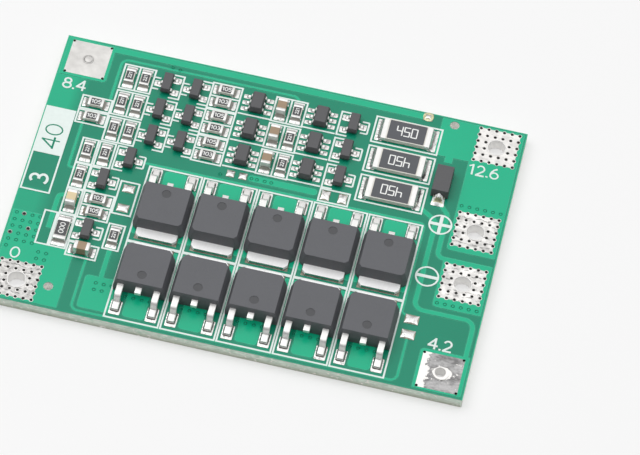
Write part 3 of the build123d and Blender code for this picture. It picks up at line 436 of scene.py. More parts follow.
class BOARD_OT_finishes(bpy.types.Operator):
    """Every finish of the board, each made once"""

    bl_idname = "board.finishes"
    bl_label = "Finishes"

    def execute(self, context):
        looks = context.scene.board_finish
        mask_and_laminate(looks)
        plain_mask("raised_mask", looks.mask_on_copper, 1.0, 1.12)
        plain_mask("sunken_mask", looks.mask_on_laminate, 0.3, 0.5)
        plain_mask("mask_beside_ink", looks.mask_on_laminate, 0.9, 1.05)
        printing_ink(looks)
        tin, stain = looks.tin, looks.stain
        levelled_tin("levelled_tin", tin, shade(tin, 0.62), patch=1.1, rough=0.3, wrinkled=0.8)
        levelled_tin("calm_tin", shade(tin, 0.97), shade(tin, 0.8), patch=1.2, rough=0.34, wrinkled=0.2)
        levelled_tin("grained_tin", shade(tin, 0.78), shade(tin, 0.46), patch=0.6, rough=0.4, wrinkled=0.8)
        levelled_tin("satin_tin", shade(tin, 0.82), shade(tin, 0.7), patch=2.5, rough=0.42)
        levelled_tin("groove_shade_tin", shade(tin, 0.5), shade(tin, 0.35), patch=0.5, rough=0.45)
        levelled_tin("fluxed_tin", tint("dddbb8"), tint("b5b08c"), patch=0.5, rough=0.4)
        levelled_tin("stain_and_shade_tin", shade(stain, 1.4), shade(stain, 0.6), patch=0.5, rough=0.35)
        levelled_tin("shaded_tin", shade(tin, 0.05), shade(tin, 0.03), patch=0.5, rough=0.6)
        hand_soldered_tin(looks)
        reflowed_solder(looks)
        plated_lead("tin_plated_lead", looks.lead, metal=0.65)
        plated_lead("small_tin_plated_lead", looks.lead, metal=0.95)
        plated_lead("dipped_tab_and_highlight", tint("ffffff"), metal=0.15)
        plated_lead("dull_shaded_solder", tint("a9a69e"), metal=0.3)
        cut_metal(looks)
        moulded_epoxy("power_case_epoxy", looks.moulding)
        moulded_epoxy("small_case_epoxy", looks.small_moulding)
        polish = shade(looks.moulding, 0.55)
        fired_coat("polished_epoxy", polish, rough=0.3, cloud_size=1.0, spread=0.1)
        fired_coat("resistor_glass_coat", looks.coat, rough=0.35, cloud_size=1.1, spread=0.12)
        fired_coat("large_resistor_coat", looks.slate, rough=0.42, cloud_size=1.6, spread=0.06)
        fired_coat("alumina", looks.alumina, rough=0.55, cloud_size=0.8, spread=0.1)
        fired_coat("capacitor_ceramic", looks.capacitor, rough=0.4, cloud_size=0.7, spread=0.08)
        fired_coat("pale_capacitor_ceramic", looks.cream, rough=0.4, cloud_size=0.7, spread=0.06)
        fired_coat("marking_paint", looks.value, rough=0.5, cloud_size=0.3, spread=0.08)
        # the steps below give the board, the print, the lands and the pads their own finishes
        for node in frame["nodes"].values():
            coat(node, "tin_plated_lead")
        return {"FINISHED"}


# Shaping


def only(obj):
    """Select one piece and make it active."""
    bpy.ops.object.select_all(action="DESELECT")
    obj.select_set(True)
    bpy.context.view_layer.objects.active = obj


def settle(name):
    """Put the active piece's place into its mesh and name it."""
    bpy.ops.object.transform_apply(location=True, rotation=True, scale=True)
    obj = bpy.context.object
    obj.name = name
    obj.data.name = name
    return obj


def block(name, size, middle):
    """Start a piece from a block of that size about a middle."""
    bpy.ops.object.select_all(action="DESELECT")
    bpy.ops.mesh.primitive_cube_add(size=1, location=[m * MM for m in middle], scale=[s * MM for s in size])
    return settle(name)


def sheet(name, size, middle):
    """Start a piece from a flat sheet of that size about a middle."""
    bpy.ops.object.select_all(action="DESELECT")
    bpy.ops.mesh.primitive_plane_add(size=MM, location=[m * MM for m in middle])
    bpy.ops.transform.resize(value=(size[0], size[1], 1))
    return settle(name)


def disc(name, radius, points, z=0.0):
    """Start a piece from a disc, open for editing and all selected."""
    bpy.ops.object.select_all(action="DESELECT")
    place = (0, 0, z * MM)
    bpy.ops.mesh.primitive_circle_add(vertices=points, radius=radius * MM, fill_type="NGON", location=place)
    made = settle(name)
    edit(made)
    bpy.ops.mesh.select_mode(type="FACE")
    bpy.ops.mesh.select_all(action="SELECT")
    return made


def drum(name, radius, points, *rings):
    """A disc that reaches a little below the origin, its top inset by rings of (width, rise)."""
    below = 0.02
    made = disc(name, radius, points, -below)
    push(z=below)
    for width, rise in rings:
        bpy.ops.mesh.inset(thickness=width * MM)
        move(z=rise)
    done()
    return made


def pick(obj, kind, test):
    """In edit mode, select only the faces (middle, normal), edges (two ends) or points that pass the test."""
    bpy.ops.mesh.select_mode(type=kind)
    bpy.ops.mesh.select_all(action="DESELECT")
    shape = bmesh.from_edit_mesh(obj.data)
    if kind == "FACE":
        for part in shape.faces:
            part.select_set(bool(test(part.calc_center_median() / MM, part.normal)))
    elif kind == "EDGE":
        for part in shape.edges:
            part.select_set(bool(test(part.verts[0].co / MM, part.verts[1].co / MM)))
    else:
        for part in shape.verts:
            part.select_set(bool(test(part.co / MM)))
    shape.select_flush_mode()
    bmesh.update_edit_mesh(obj.data)


def edit(obj):
    """Open a piece in edit mode."""
    only(obj)
    bpy.ops.object.mode_set(mode="EDIT")


def done():
    """Leave edit mode."""
    bpy.ops.object.mode_set(mode="OBJECT")


def push(x=0.0, y=0.0, z=0.0):
    """Extrude what is selected by that many millimetres."""
    bpy.ops.mesh.extrude_region_move(TRANSFORM_OT_translate={"value": (x * MM, y * MM, z * MM)})


def move(x=0.0, y=0.0, z=0.0):
    """Move what is selected by that many millimetres."""
    bpy.ops.transform.translate(value=(x * MM, y * MM, z * MM))


def stretch(x=1.0, y=1.0, z=1.0):
    """Resize what is selected about its own middle."""
    bpy.ops.transform.resize(value=(x, y, z))


def round_edges(width, steps):
    """Bevel what is selected, with its width in metres; one step cuts a flat."""
    bpy.ops.mesh.bevel(offset=width, offset_type="OFFSET", segments=steps, profile=0.5, affect="EDGES")


def cut(axis, *places):
    """Cut the open piece right across at those millimetres along an axis."""
    side = [0, 0, 0]
    side[axis] = 1
    for place in places:
        where = [place * MM * s for s in side]
        bpy.ops.mesh.select_all(action="SELECT")
        # without a threshold, a cut less than 0.1 mm from a point is lost
        bpy.ops.mesh.bisect(plane_co=where, plane_no=side, threshold=0.001 * MM)


def relief(obj, level, height):
    """Raise each point of the open piece that lies at that level by height(x, y) millimetres."""
    near = 0.002
    points = [point.co for point in bmesh.from_edit_mesh(obj.data).verts]
    top = [co for co in points if abs(co.z / MM - level) < near / 2]
    for x, y in sorted({(round(co.x / MM, 3), round(co.y / MM, 3)) for co in top}):
        pick(obj, "VERT", lambda p: max(abs(p.x - x), abs(p.y - y), abs(p.z - level)) < near)
        move(z=height(x, y))


def apply(obj, kind, **settings):
    """Add a modifier and apply it."""
    only(obj)
    step = obj.modifiers.new(kind.title(), kind)
    for name, value in settings.items():
        setattr(step, name, value)
    bpy.ops.object.modifier_apply(modifier=step.name)


def smooth(obj, angle):
    """Smooth shading below that angle between faces, with the large faces kept flat."""
    only(obj)
    bpy.ops.object.shade_smooth_by_angle(angle=math.radians(angle))
    apply(obj, "WEIGHTED_NORMAL", keep_sharp=True)


def coat(obj, base, *others):
    """Give a piece its finishes: a base, then (finish, test of face middle and normal) pairs."""
    obj.data.materials.clear()
    obj.data.materials.append(bpy.data.materials[base])
    for order, (finish, test) in enumerate(others, 1):
        obj.data.materials.append(bpy.data.materials[finish])
        for part in obj.data.polygons:
            if test(part.center / MM, part.normal):
                part.material_index = order


def ringed(inner, outer):
    """A test for faces whose middles lie between two circles about the origin."""
    return lambda middle, normal: inner <= math.hypot(middle.x, middle.y) < outer


def join(name, pieces):
    """Join pieces into one."""
    bpy.ops.object.select_all(action="DESELECT")
    for piece in pieces:
        piece.select_set(True)
    bpy.context.view_layer.objects.active = pieces[0]
    if len(pieces) > 1:
        bpy.ops.object.join()
    pieces[0].name = name
    pieces[0].data.name = name
    return pieces[0]


def at(x, y, z, turn):
    """Matrix to a place, turned by that many degrees about Z."""
    return Matrix.Translation(Vector((x, y, z)) * MM) @ Matrix.Rotation(math.radians(turn), 4, "Z")


def copies(model, spots):
    """Copies of a model, each with its own mesh, at spots (x, y, z, turn)."""
    made = []
    for spot in spots:
        copy = bpy.data.objects.new(model.name, model.data.copy())
        bpy.context.scene.collection.objects.link(copy)
        copy.data.transform(at(*spot))
        made.append(copy)
    return made


def carry(piece, slot, *nodes):
    """Let a finished piece ride on the board in place of its CAD nodes."""
    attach(piece, "root")
    if nodes:
        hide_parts(*nodes)


def drop(*models):
    """Delete models that were only copied."""
    for model in models:
        bpy.data.objects.remove(model)


def middle_of(node):
    """Middle of a CAD node."""
    return [(low + high) / 2 / MM for low, high in zip(*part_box(node))]


def solids(node):
    """Low and high corners of each separate solid in a CAD node, from left to right."""
    shape = bmesh.new()
    shape.from_mesh(frame["nodes"][node].data)
    bmesh.ops.remove_doubles(shape, verts=shape.verts, dist=1e-7)
    left = set(shape.verts)
    found = []
    while left:
        reach = [left.pop()]
        group = list(reach)
        while reach:
            point = reach.pop()
            for side in point.link_edges:
                other = side.other_vert(point)
                if other in left:
                    left.discard(other)
                    reach.append(other)
                    group.append(other)
        low = Vector([min(p.co[axis] for p in group) for axis in range(3)]) / MM
        high = Vector([max(p.co[axis] for p in group) for axis in range(3)]) / MM
        found.append((low, high))
    shape.free()
    return sorted(found, key=lambda ends: (round(ends[0].x, 2), round(ends[0].y, 2)))


def spots_of(node, z, upright_turn=90):
    """Spot (x, y, z, turn) of each solid of a node, turned where its long side runs along Y."""
    spots = []
    for low, high in solids(node):
        turn = upright_turn if high.y - low.y > high.x - low.x else 0
        spots.append(((low.x + high.x) / 2, (low.y + high.y) / 2, z, turn))
    return spots


def transistor_spots(group, z):
    """Spots of a group's small transistors; the single lead is on the left at no turn."""
    turns = (180, 180, 180) if group == "control" else (0, 0, 180)
    return [(*spot[:3], turn) for spot, turn in zip(spots_of(f"{group}_transistors", z, 0), turns)]


def monitor_spots(group, z):
    """Spots of a channel's two chips with six leads; the control group has none."""
    kinds = () if group == "control" else ("protection", "balance")
    return [(kind, *spots_of(f"{group}_{kind}_chip", z, 0)) for kind in kinds]


def power_spots(z):
    """Spots of the power transistors; those of the second row are turned round."""
    spots = []
    for order in range(1, 2 * in_row + 1):
        x, y, _ = middle_of(f"mosfet_{order}_case")
        spots.append((x, y, z, 0 if order <= in_row else 180))
    return spots


def arc(x, y, wide, tall, first, last):
    """Points along an ellipse from one angle to another, for a stroke of a digit."""
    steps = round(abs(last - first) / 24)
    angles = [math.radians(first + (last - first) * step / steps) for step in range(steps + 1)]
    return [(x + wide * math.cos(angle), y + tall * math.sin(angle)) for angle in angles]


# width and strokes of each digit on a cell one high
digits = {
    "0": (0.72, [arc(0.36, 0.5, 0.36, 0.5, 90, 450)]),
    "1": (0.5, [[(0.04, 0.8), (0.38, 1)], [(0.36, 1.04), (0.36, -0.04)]]),
    "2": (0.68, [arc(0.33, 0.69, 0.3, 0.31, 165, -38), [(0.57, 0.5), (0, 0)], [(-0.04, 0), (0.7, 0)]]),
    "3": (0.64, [arc(0.3, 0.75, 0.26, 0.25, 150, -95), arc(0.3, 0.26, 0.33, 0.26, 95, -150)]),
    "4": (0.74, [[(0.54, -0.04), (0.54, 1.06)], [(0.56, 1.03), (-0.01, 0.28)], [(-0.06, 0.3), (0.78, 0.3)]]),
    "5": (
        0.64,
        [[(0.64, 1), (0.08, 1)], [(0.12, 1.04), (0.06, 0.54)], arc(0.3, 0.31, 0.33, 0.32, 140, -140)],
    ),
    "6": (0.68, [arc(0.35, 0.3, 0.33, 0.3, 90, 450), arc(0.72, 0.3, 0.7, 0.75, 107, 175)]),
    "8": (0.68, [arc(0.34, 0.76, 0.27, 0.24, 90, 450), arc(0.34, 0.27, 0.34, 0.27, 90, 450)]),
    ".": (0.1, [[(-0.04, 0.04), (0.14, 0.04)]]),
}


def number(text, height, weight, spot, bottom, top):
    """Plain digits in even strokes, centred on (x, y, turn) and flattened between two levels."""
    drawn = bpy.data.curves.new("number", "CURVE")
    drawn.dimensions = "3D"
    drawn.bevel_depth = weight / 2 / height
    drawn.bevel_resolution = 1
    drawn.use_fill_caps = True
    start_x, space = 0, 0.2
    for sign in text:
        width, strokes = digits[sign]
        for order, stroke in enumerate(strokes):
            line = drawn.splines.new("POLY")
            line.points.add(len(stroke) - 1)
            for point, (x, y) in zip(line.points, stroke):
                # a stroke lies a little over the last one, so that no two faces share a level
                point.co = (start_x + x, y, 0.015 * order, 1)
        start_x += width + space
    bpy.ops.object.select_all(action="DESELECT")
    made = bpy.data.objects.new("number", drawn)
    bpy.context.scene.collection.objects.link(made)
    only(made)
    bpy.ops.object.convert(target="MESH")
    made = bpy.context.object
    x, y, turn = spot
    flat = (top - bottom) / weight
    size = Matrix.Diagonal((height * MM, height * MM, height * MM * flat, 1))
    centred = Matrix.Translation((-(start_x - space) / 2, -0.5, 0))
    made.data.transform(at(x, y, (bottom + top) / 2, turn) @ size @ centred)
    smooth(made, 60)
    return made


def pool(name, size, middle, across, along, height, rim):
    """Solder on a pad: a round-cornered slab, cut across and along, whose top is raised by height(x, y)."""
    made = block(name, (size[0], size[1], rim), (middle[0], middle[1], rim / 2))
    edit(made)
    pick(made, "EDGE", lambda a, b: abs(a.z - b.z) > rim / 2)
    round_edges(0.1 * MM, 2)
    cut(0, *across)
    cut(1, *along)
    relief(made, rim, height)
    done()
    smooth(made, 70)
    return made


def stamped_lead(name, width, thick, rise, root, run, slope, foot, bend, finish):
    """A gull-wing lead along +Y: level run from its root, slope down by its rise, and foot on the pad."""
    lead = sheet(name, (width, run), (0, root + run / 2, rise))
    first, second = root + run, root + run + slope
    near = 0.001

    def bent(a, b):
        return abs(a.y - b.y) < near and min(abs(a.y - first), abs(a.y - second)) < near

    edit(lead)
    pick(lead, "EDGE", lambda a, b: min(a.y, b.y) > first - near)
    push(y=slope, z=thick / 2 - rise)
    push(y=foot)
    pick(lead, "EDGE", bent)
    round_edges(bend * MM, 3)
    done()
    apply(lead, "SOLIDIFY", thickness=thick * MM, offset=0, use_even_offset=True)
    edge = {"limit_method": "ANGLE", "angle_limit": math.radians(60)}
    apply(lead, "BEVEL", width=thick * MM / 8, segments=2 if thick > 0.3 else 1, **edge)
    smooth(lead, 40)
    coat(lead, finish)
    return lead


def moulded(name, size, heights, draft, corner, edge, undercut=0.0):
    """A moulded case: its walls lean out up to the parting line and in above it; -Y corners may be cut."""
    low, parting, high = heights
    case = block(name, (size[0], size[1], parting - low), (0, 0, (parting + low) / 2))
    edit(case)
    if corner:
        pick(case, "EDGE", lambda a, b: abs(a.z - b.z) > 0.1 and a.y < 0)
        round_edges(corner * MM, 1)
    pick(case, "FACE", lambda middle, normal: normal.z > 0.9)
    push(z=high - parting)
    stretch(1 - 2 * draft[0] / size[0], 1 - 2 * draft[1] / size[1])
    pick(case, "FACE", lambda middle, normal: normal.z < -0.9)
    stretch(1 - 2 * undercut / size[0], 1 - 2 * undercut / size[1])
    pick(case, "EDGE", lambda a, b: max(a.z, b.z) > low + 0.01)
    round_edges(edge, 3)
    done()
    return case


def chip(name, size, cap, edge, ceramic):
    """A chip along X: ceramic between two plated ends that stand a little proud of it."""
    long, wide, high = size
    body = block(name, size, (0, 0, high / 2))
    waist = long / 2 - cap
    edit(body)
    cut(0, -waist, waist, -waist + 0.03, waist - 0.03)
    pick(body, "VERT", lambda p: abs(p.x) < waist - 0.02)
    stretch(1, 1 - 0.08 / wide, 1 - 0.05 / high)

    def of_an_end(a, b):
        near, far = sorted((abs(a.x), abs(b.x)))
        return near > waist - 0.001 and far > waist + 0.01

    pick(body, "EDGE", of_an_end)
    round_edges(edge, 2)
    done()
    smooth(body, 50)
    coat(body, "tin_plated_lead", (ceramic, lambda middle, normal: abs(middle.x) < waist - 0.015))
    return body


def glass_coat(size, middle, finish):
    """A printed glass coat, raised on a chip's top, with softened edges."""
    made = block("glass_coat", size, middle)
    edit(made)
    pick(made, "EDGE", lambda a, b: abs(a.z - b.z) > size[2] / 2)
    round_edges(0.06 * MM, 2)
    pick(made, "EDGE", lambda a, b: min(a.z, b.z) > middle[2])
    round_edges(size[2] * 0.4 * MM, 1)
    done()
    smooth(made, 50)
    coat(made, finish)
    return made


class BOARD_OT_base(bpy.types.Operator):
    """Mask, sawn edges and legend of the board, with its vias"""

    bl_idname = "board.base"
    bl_label = "Board and vias"

    def execute(self, context):
        ring = context.scene.part_shapes.via_ring / MM
        coat(frame["nodes"]["printed_circuit_board"], "solder_mask")
        coat(frame["nodes"]["legend_print"], "printed_ink")
        via = drum("covered_via", ring, 12, (0.05, 0.02), (0.04, -0.015), (0.1, -0.012))
        smooth(via, 80)
        coat(via, "raised_mask", ("sunken_mask", ringed(ring - 0.18, ring - 0.05)))
        # they stand 1 mm apart in rows and blocks over the pours
        spots = [(x, y) for y in (7.5, -7.48) for x in (24.1, 25.1, 26.1, 27.1, 28.1, 29.1)]
        spots += [(x, y) for x in (-29.2, -28.2, -27.2, -26.2) for y in (-8.75, -11.75)]
        spots += [(-29.2, -9.75), (-28.2, -9.75), (-26.2, -9.75), (-29.2, -7.7), (-27.2, -7.7), (-26.2, -7.7)]
        spots += [(x, -10.75) for x in (-28.2, -27.2, -26.2)]
        spots += [(x, y) for x in (-25.1, -24.1) for y in (-12.8, -13.8)] + [(-29.2, -12.8)]
        spots += [(x, y) for x in (-17.1, -16.1) for y in (-15.4, -16.4)] + [(-15.1, -15.4)]
        spots += [(x, 4.72) for x in (-2.25, -1.55, -0.55, 0.3)] + [(-6.2, 4.4), (-15.9, 18.9), (-14.9, 18.8)]
        # and four stand in front of each power transistor in the second row
        for x, _, _, _ in power_spots(0)[in_row:]:
            spots += [(x + step, -16.45) for step in (-1.55, -0.5, 0.55, 1.55)]
        made = copies(via, [(x, y, copper_face, 0) for x, y in spots])
        carry(join("covered_vias", made), "mask")

        tinned = drum("tinned_via", 0.31, 16, (0.05, 0.05), (0.05, -0.02), (0.03, -0.025))
        smooth(tinned, 60)
        coat(tinned, "satin_tin", ("shaded_tin", ringed(0, 0.2)))
        open_spots = ((-28.25, -7.7), (-27.2, -9.75), (-29.25, -10.75))
        made = copies(tinned, [(x, y, copper_face, 0) for x, y in open_spots])
        carry(join("tinned_vias", made), "tin")
        drop(via, tinned)
        return {"FINISHED"}


class BOARD_OT_lands(bpy.types.Operator):
    """Tinned terminal lands with their via mouths, and test pads with solder stars"""

    bl_idname = "board.lands"
    bl_label = "Lands and pads"

    def execute(self, context):
        nodes = frame["nodes"]
        coat(nodes["first_cell_land"], "hand_soldered_tin")
        coat(nodes["second_cell_land"], "satin_tin")
        coat(nodes["test_pads"], "stain_and_shade_tin")
        mouth = drum("via_mouth", 0.275, 12, (0.038, 0.02), (0.032, -0.016))
        smooth(mouth, 60)
        coat(mouth, "levelled_tin", ("shaded_tin", ringed(0, 0.2)))
        # two rings of vias stand 1 mm apart round each bore
        steps = (-2.5, -1.5, -0.5, 0.5, 1.5, 2.5)
        grid = [(x, y) for x in steps for y in steps if max(abs(x), abs(y)) > 1]
        finishes = {"battery_minus": "grained_tin", "battery_plus": "calm_tin"}
        middles = {name: middle_of(f"{name}_land") for name in (*power_lands, "first_cell", "second_cell")}
        for name in power_lands:
            coat(nodes[f"{name}_land"], finishes.get(name, "levelled_tin"))
            x, y, _ = middles[name]
            spots = [(x + across, y + along, land_face, 0) for across, along in grid]
            carry(join(f"{name}_via_mouths", copies(mouth, spots)), "tin")
        drop(mouth)
        rim = disc("bore_rim", 1.22, 40)
        bpy.ops.mesh.inset(thickness=0.11 * MM)
        bpy.ops.mesh.delete(type="FACE")
        done()
        apply(rim, "SOLIDIFY", thickness=0.04 * MM, offset=1)
        edge = {"limit_method": "ANGLE", "angle_limit": math.radians(50)}
        apply(rim, "BEVEL", width=0.018 * MM, segments=2, **edge)
        smooth(rim, 60)
        coat(rim, "tin_plated_lead")
        spots = [(*middles[name][:2], land_face - 0.01, 0) for name in power_lands]
        carry(join("bore_rims", copies(rim, spots)), "tin")
        drop(rim)

        # the two sense lands have plain holes at their corners, drawn as discs painted dark as shade, and one
        # has a ring that a probe pressed
        hole = drum("corner_hole", 0.17, 12, (0.03, -0.02))
        ring = drum("pressed_ring", 0.7, 32, (0.1, 0.06), (0.06, -0.045), (0.1, -0.01), (0.2, 0.05))
        smooth(ring, 80)
        # the pressed groove is painted darker, a painted shade
        coat(ring, "satin_tin", ("groove_shade_tin", ringed(0.46, 0.64)))
        corner = 2.45
        for name, finish in (("first_cell", "shaded_tin"), ("second_cell", "stain_and_shade_tin")):
            coat(hole, finish)
            x, y, _ = middles[name]
            places = [(x + across, y + along) for across in (-corner, corner) for along in (-corner, corner)]
            spots = [(*place, land_face + 0.021, 0) for place in places]
            carry(join(f"{name}_corner_holes", copies(hole, spots)), "tin")
        carry(join("pressed_ring", copies(ring, [(x, y, land_face, 0)])), "tin")
        drop(hole, ring)

        # solder drew back from the middle of each pad's sides and heaped up in its middle
        stars = []
        for low, high in solids("test_pads"):
            spot = ((low.x + high.x) / 2, (low.y + high.y) / 2, seat, 0)
            # the round test point at the rear edge was touched only in its middle
            test_point = low.y > 19
            bare = 0.45 if test_point else 0.02
            wide, tall = high.x - low.x - bare, high.y - low.y - bare
            waist_x, waist_y = wide / 2 - 0.001, tall / 2 - 0.001
            star = block("solder_star", (wide, tall, 0.03), (0, 0, 0.015))
            edit(star)
            cut(0, -wide / 4, 0, wide / 4)
            cut(1, -tall / 4, 0, tall / 4)
            for way in (-1, 1):
                pick(star, "VERT", lambda p: p.x * way > waist_x and abs(p.y) < waist_y / 2 + 0.01)
                move(x=-way * wide * 0.06)
                pick(star, "VERT", lambda p: p.y * way > waist_y and abs(p.x) < waist_x / 2 + 0.01)
                move(y=-way * tall * 0.09)
                pick(star, "VERT", lambda p: p.x * way > waist_x - wide * 0.1 and abs(p.y) < 0.01)
                move(x=-way * wide * 0.04)
                pick(star, "VERT", lambda p: p.y * way > waist_y - tall * 0.14 and abs(p.x) < 0.01)
                move(y=-way * tall * 0.05)
            pick(star, "VERT", lambda p: p.z > 0.02 and abs(p.x) < wide * 0.3 and abs(p.y) < tall * 0.3)
            move(z=0.07)
            pick(star, "VERT", lambda p: p.z > 0.02 and abs(p.x) < 0.01 and abs(p.y) < 0.01)
            move(z=0.04)
            done()
            smooth(star, 60)
            coat(star, "reflowed_solder")
            stars += copies(star, [spot])
            drop(star)
            if test_point:
                point = drum("round_test_point", 0.68, 24, (0.1, 0.015))
                smooth(point, 60)
                coat(point, "fluxed_tin")
                stars += copies(point, [spot])
                drop(point)
        carry(join("solder_stars", stars), "solder")
        return {"FINISHED"}


class BOARD_OT_power_transistors(bpy.types.Operator):
    """Power transistors: moulded cases on their stamped leadframes"""

    bl_idname = "board.power_transistors"
    bl_label = "Power transistors"

    def execute(self, context):
        case_top = 2.3
        case = moulded(
            "power_case", (6.55, 5.95), (0, 0.9, case_top), draft=(0.42, 0.16), corner=0.45,
            edge=context.scene.part_shapes.case_edge,
        )
        # an ejector pin left a shallow round mark on the top
        mark_y, mark_radius, mark_depth = 1.52, 0.57, 0.07
        bpy.ops.object.select_all(action="DESELECT")
        bpy.ops.mesh.primitive_cylinder_add(
            vertices=32, radius=mark_radius * MM, depth=2 * mark_depth * MM,
            location=(0, mark_y * MM, case_top * MM),
        )
        mark = settle("mark_cutter")
        apply(case, "BOOLEAN", operation="DIFFERENCE", object=mark, solver="EXACT")
        drop(mark)

        def away(p):
            return math.hypot(p.x, p.y - mark_y) - mark_radius

        def on_brink(a, b):
            return max(abs(away(a)), abs(away(b))) < 0.005 and min(a.z, b.z) > case_top - 0.001

        def in_mark(middle, normal):
            return away(middle) < -0.01 and 2.0 < middle.z < case_top - 0.04

        edit(case)
        pick(case, "EDGE", on_brink)
        round_edges(mark_depth * MM, 2)
        done()
        smooth(case, 40)
        coat(case, "power_case_epoxy", ("polished_epoxy", in_mark))

        lead = stamped_lead(
            "outer_lead", width=0.8, thick=0.5, rise=1.29, root=2.55, run=1.9, slope=0.325, foot=1.2,
            bend=0.28, finish="tin_plated_lead",
        )
        tab = block("tab", (5.2, 3.0, 0.5), (0, -2.775, 0.25))
        edit(tab)
        pick(tab, "EDGE", lambda a, b: abs(a.z - b.z) > 0.4 and a.y < -4)
        round_edges(0.45 * MM, 1)
        pick(tab, "EDGE", lambda a, b: min(a.z, b.z) > 0.4)
        round_edges(0.08 * MM, 3)
        done()
        stub = block("stub", (0.8, 1.4, 0.5), (0, 3.075, 1.29))
        edit(stub)
        pick(stub, "EDGE", lambda a, b: max(a.y, b.y) > 3)
        round_edges(0.06 * MM, 2)
        done()
        smooth(tab, 40)
        coat(tab, "dipped_tab_and_highlight", ("sheared_metal", lambda middle, normal: normal.y < -0.9))
        smooth(stub, 40)
        coat(stub, "tin_plated_lead")
        outer = copies(lead, [(-outer_pitch, 0, 0, 0), (outer_pitch, 0, 0, 0)])
        leads = join("leadframe", outer + [tab, stub])

        for order, spot in enumerate(power_spots(seat), 1):
            piece = join(f"power_case_{order}", copies(case, [spot]))
            carry(piece, "moulding", f"mosfet_{order}_case")
            piece = join(f"power_leads_{order}", copies(leads, [spot]))
            carry(piece, "leadframe", f"mosfet_{order}_leadframe")
        drop(case, lead, leads)
        return {"FINISHED"}


class BOARD_OT_small_chips(bpy.types.Operator):
    """Small resistors and capacitors on the board"""

    bl_idname = "board.small_chips"
    bl_label = "Small chips"

    def execute(self, context):
        edge = context.scene.part_shapes.chip_edge
        resistor = chip("small_resistor", (2.0, 1.25, 0.5), 0.32, edge, "alumina")
        glass = glass_coat((1.3, 0.98, 0.05), (0, 0, 0.495), "resistor_glass_coat")
        coated = join("small_resistor", [resistor, glass])
        models = []
        for value, high, weight in (("103", 0.52, 0.11), ("105", 0.52, 0.11), ("221", 0.4, 0.09)):
            marks = number(value, high, weight, (0, 0, 0), 0.5, 0.54)
            coat(marks, "marking_paint")
            models.append(join("marked_resistor", copies(coated, [(0, 0, 0, 0)]) + [marks]))
        for group in groups:
            made = []
            # the upright ones carry the third value, and the others take turns
            for order, spot in enumerate(spots_of(f"{group}_resistors", seat)):
                made += copies(models[2 if spot[3] else order % 2], [spot])
            carry(join(f"{group}_marked_resistors", made), "resistor", f"{group}_resistors")
        drop(coated, *models)

        size, cap = (2.0, 1.25, 1.25), 0.42
        capacitor = chip("small_capacitor", size, cap, 1.6 * edge, "capacitor_ceramic")
        pale = chip("pale_capacitor", size, cap, 1.6 * edge, "pale_capacitor_ceramic")
        for node in capacitor_nodes:
            made = []
            for spot in spots_of(node, seat):
                upright_control = node == "control_capacitors" and spot[3] == 90
                made += copies(pale if upright_control else capacitor, [spot])
            carry(join(f"{node}_dressed", made), "capacitor", node)
        drop(capacitor, pale)
        return {"FINISHED"}


class BOARD_OT_large_resistors(bpy.types.Operator):
    """Balance resistors and the link, with their digits"""

    bl_idname = "board.large_resistors"
    bl_label = "Large resistors"

    # middle of each stroke, in half widths and half heights of a digit, and its turn
    strokes = {
        "top": (0, 1, 0), "middle": (0, 0, 0), "foot": (0, -1, 0),
        "upper_left": (-1, 0.5, 90), "upper_right": (1, 0.5, 90),
        "lower_left": (-1, -0.5, 90), "lower_right": (1, -0.5, 90),
    }
    shapes = {
        "4": ("upper_left", "middle", "upper_right", "lower_right"),
        "5": ("top", "upper_left", "middle", "lower_right", "foot"),
        "0": ("top", "upper_left", "upper_right", "lower_left", "lower_right", "foot"),
    }

    def execute(self, context):
        edge = context.scene.part_shapes.chip_edge
        half_wide, half_tall, weight, top = 0.34, 0.68, 0.15, 0.665
        stroke = block("stroke", (half_tall + weight * 0.7, weight, 0.02), (0, 0, 0.01))
        edit(stroke)
        pick(stroke, "EDGE", lambda a, b: abs(a.z - b.z) > 0.01)
        round_edges(weight * 0.35 * MM, 1)
        done()
        coat(stroke, "marking_paint")
        made = []
        for place, digit in zip((-0.95, 0, 0.95), "450"):
            for order, name in enumerate(self.shapes[digit]):
                x, y, turn = self.strokes[name]
                # each stroke lies a little over the last one, so that no two faces share a level
                made += copies(stroke, [(place + x * half_wide, y * half_tall, top + 0.002 * order, turn)])
        marks = join("marks", made)
        drop(stroke)
        body = chip("balance_body", (6.35, 3.2, 0.65), 0.62, 1.3 * edge, "alumina")
        slate = glass_coat((4.75, 2.86, 0.05), (0, 0, 0.645), "large_resistor_coat")
        model = join("balance_resistor", [body, slate, marks])
        for order, turn in ((1, 0), (2, 180), (3, 180)):
            node = f"balance_resistor_{order}"
            (spot,) = spots_of(node, seat)
            piece = join(f"{node}_dressed", copies(model, [(*spot[:3], turn)]))
            carry(piece, "resistor", node)
        drop(model)

        body = chip("link", (3.2, 1.6, 0.6), 0.5, edge, "alumina")
        glass = glass_coat((2.2, 1.42, 0.05), (0, 0, 0.595), "resistor_glass_coat")
        marks = number("000", 0.6, 0.11, (0, 0, 0), 0.6, 0.64)
        coat(marks, "marking_paint")
        link = join("link_resistor_dressed", [body, glass, marks])
        piece = join("link_resistor_dressed", copies(link, spots_of("link_resistor", seat)))
        drop(link)
        carry(piece, "resistor", "link_resistor")
        return {"FINISHED"}


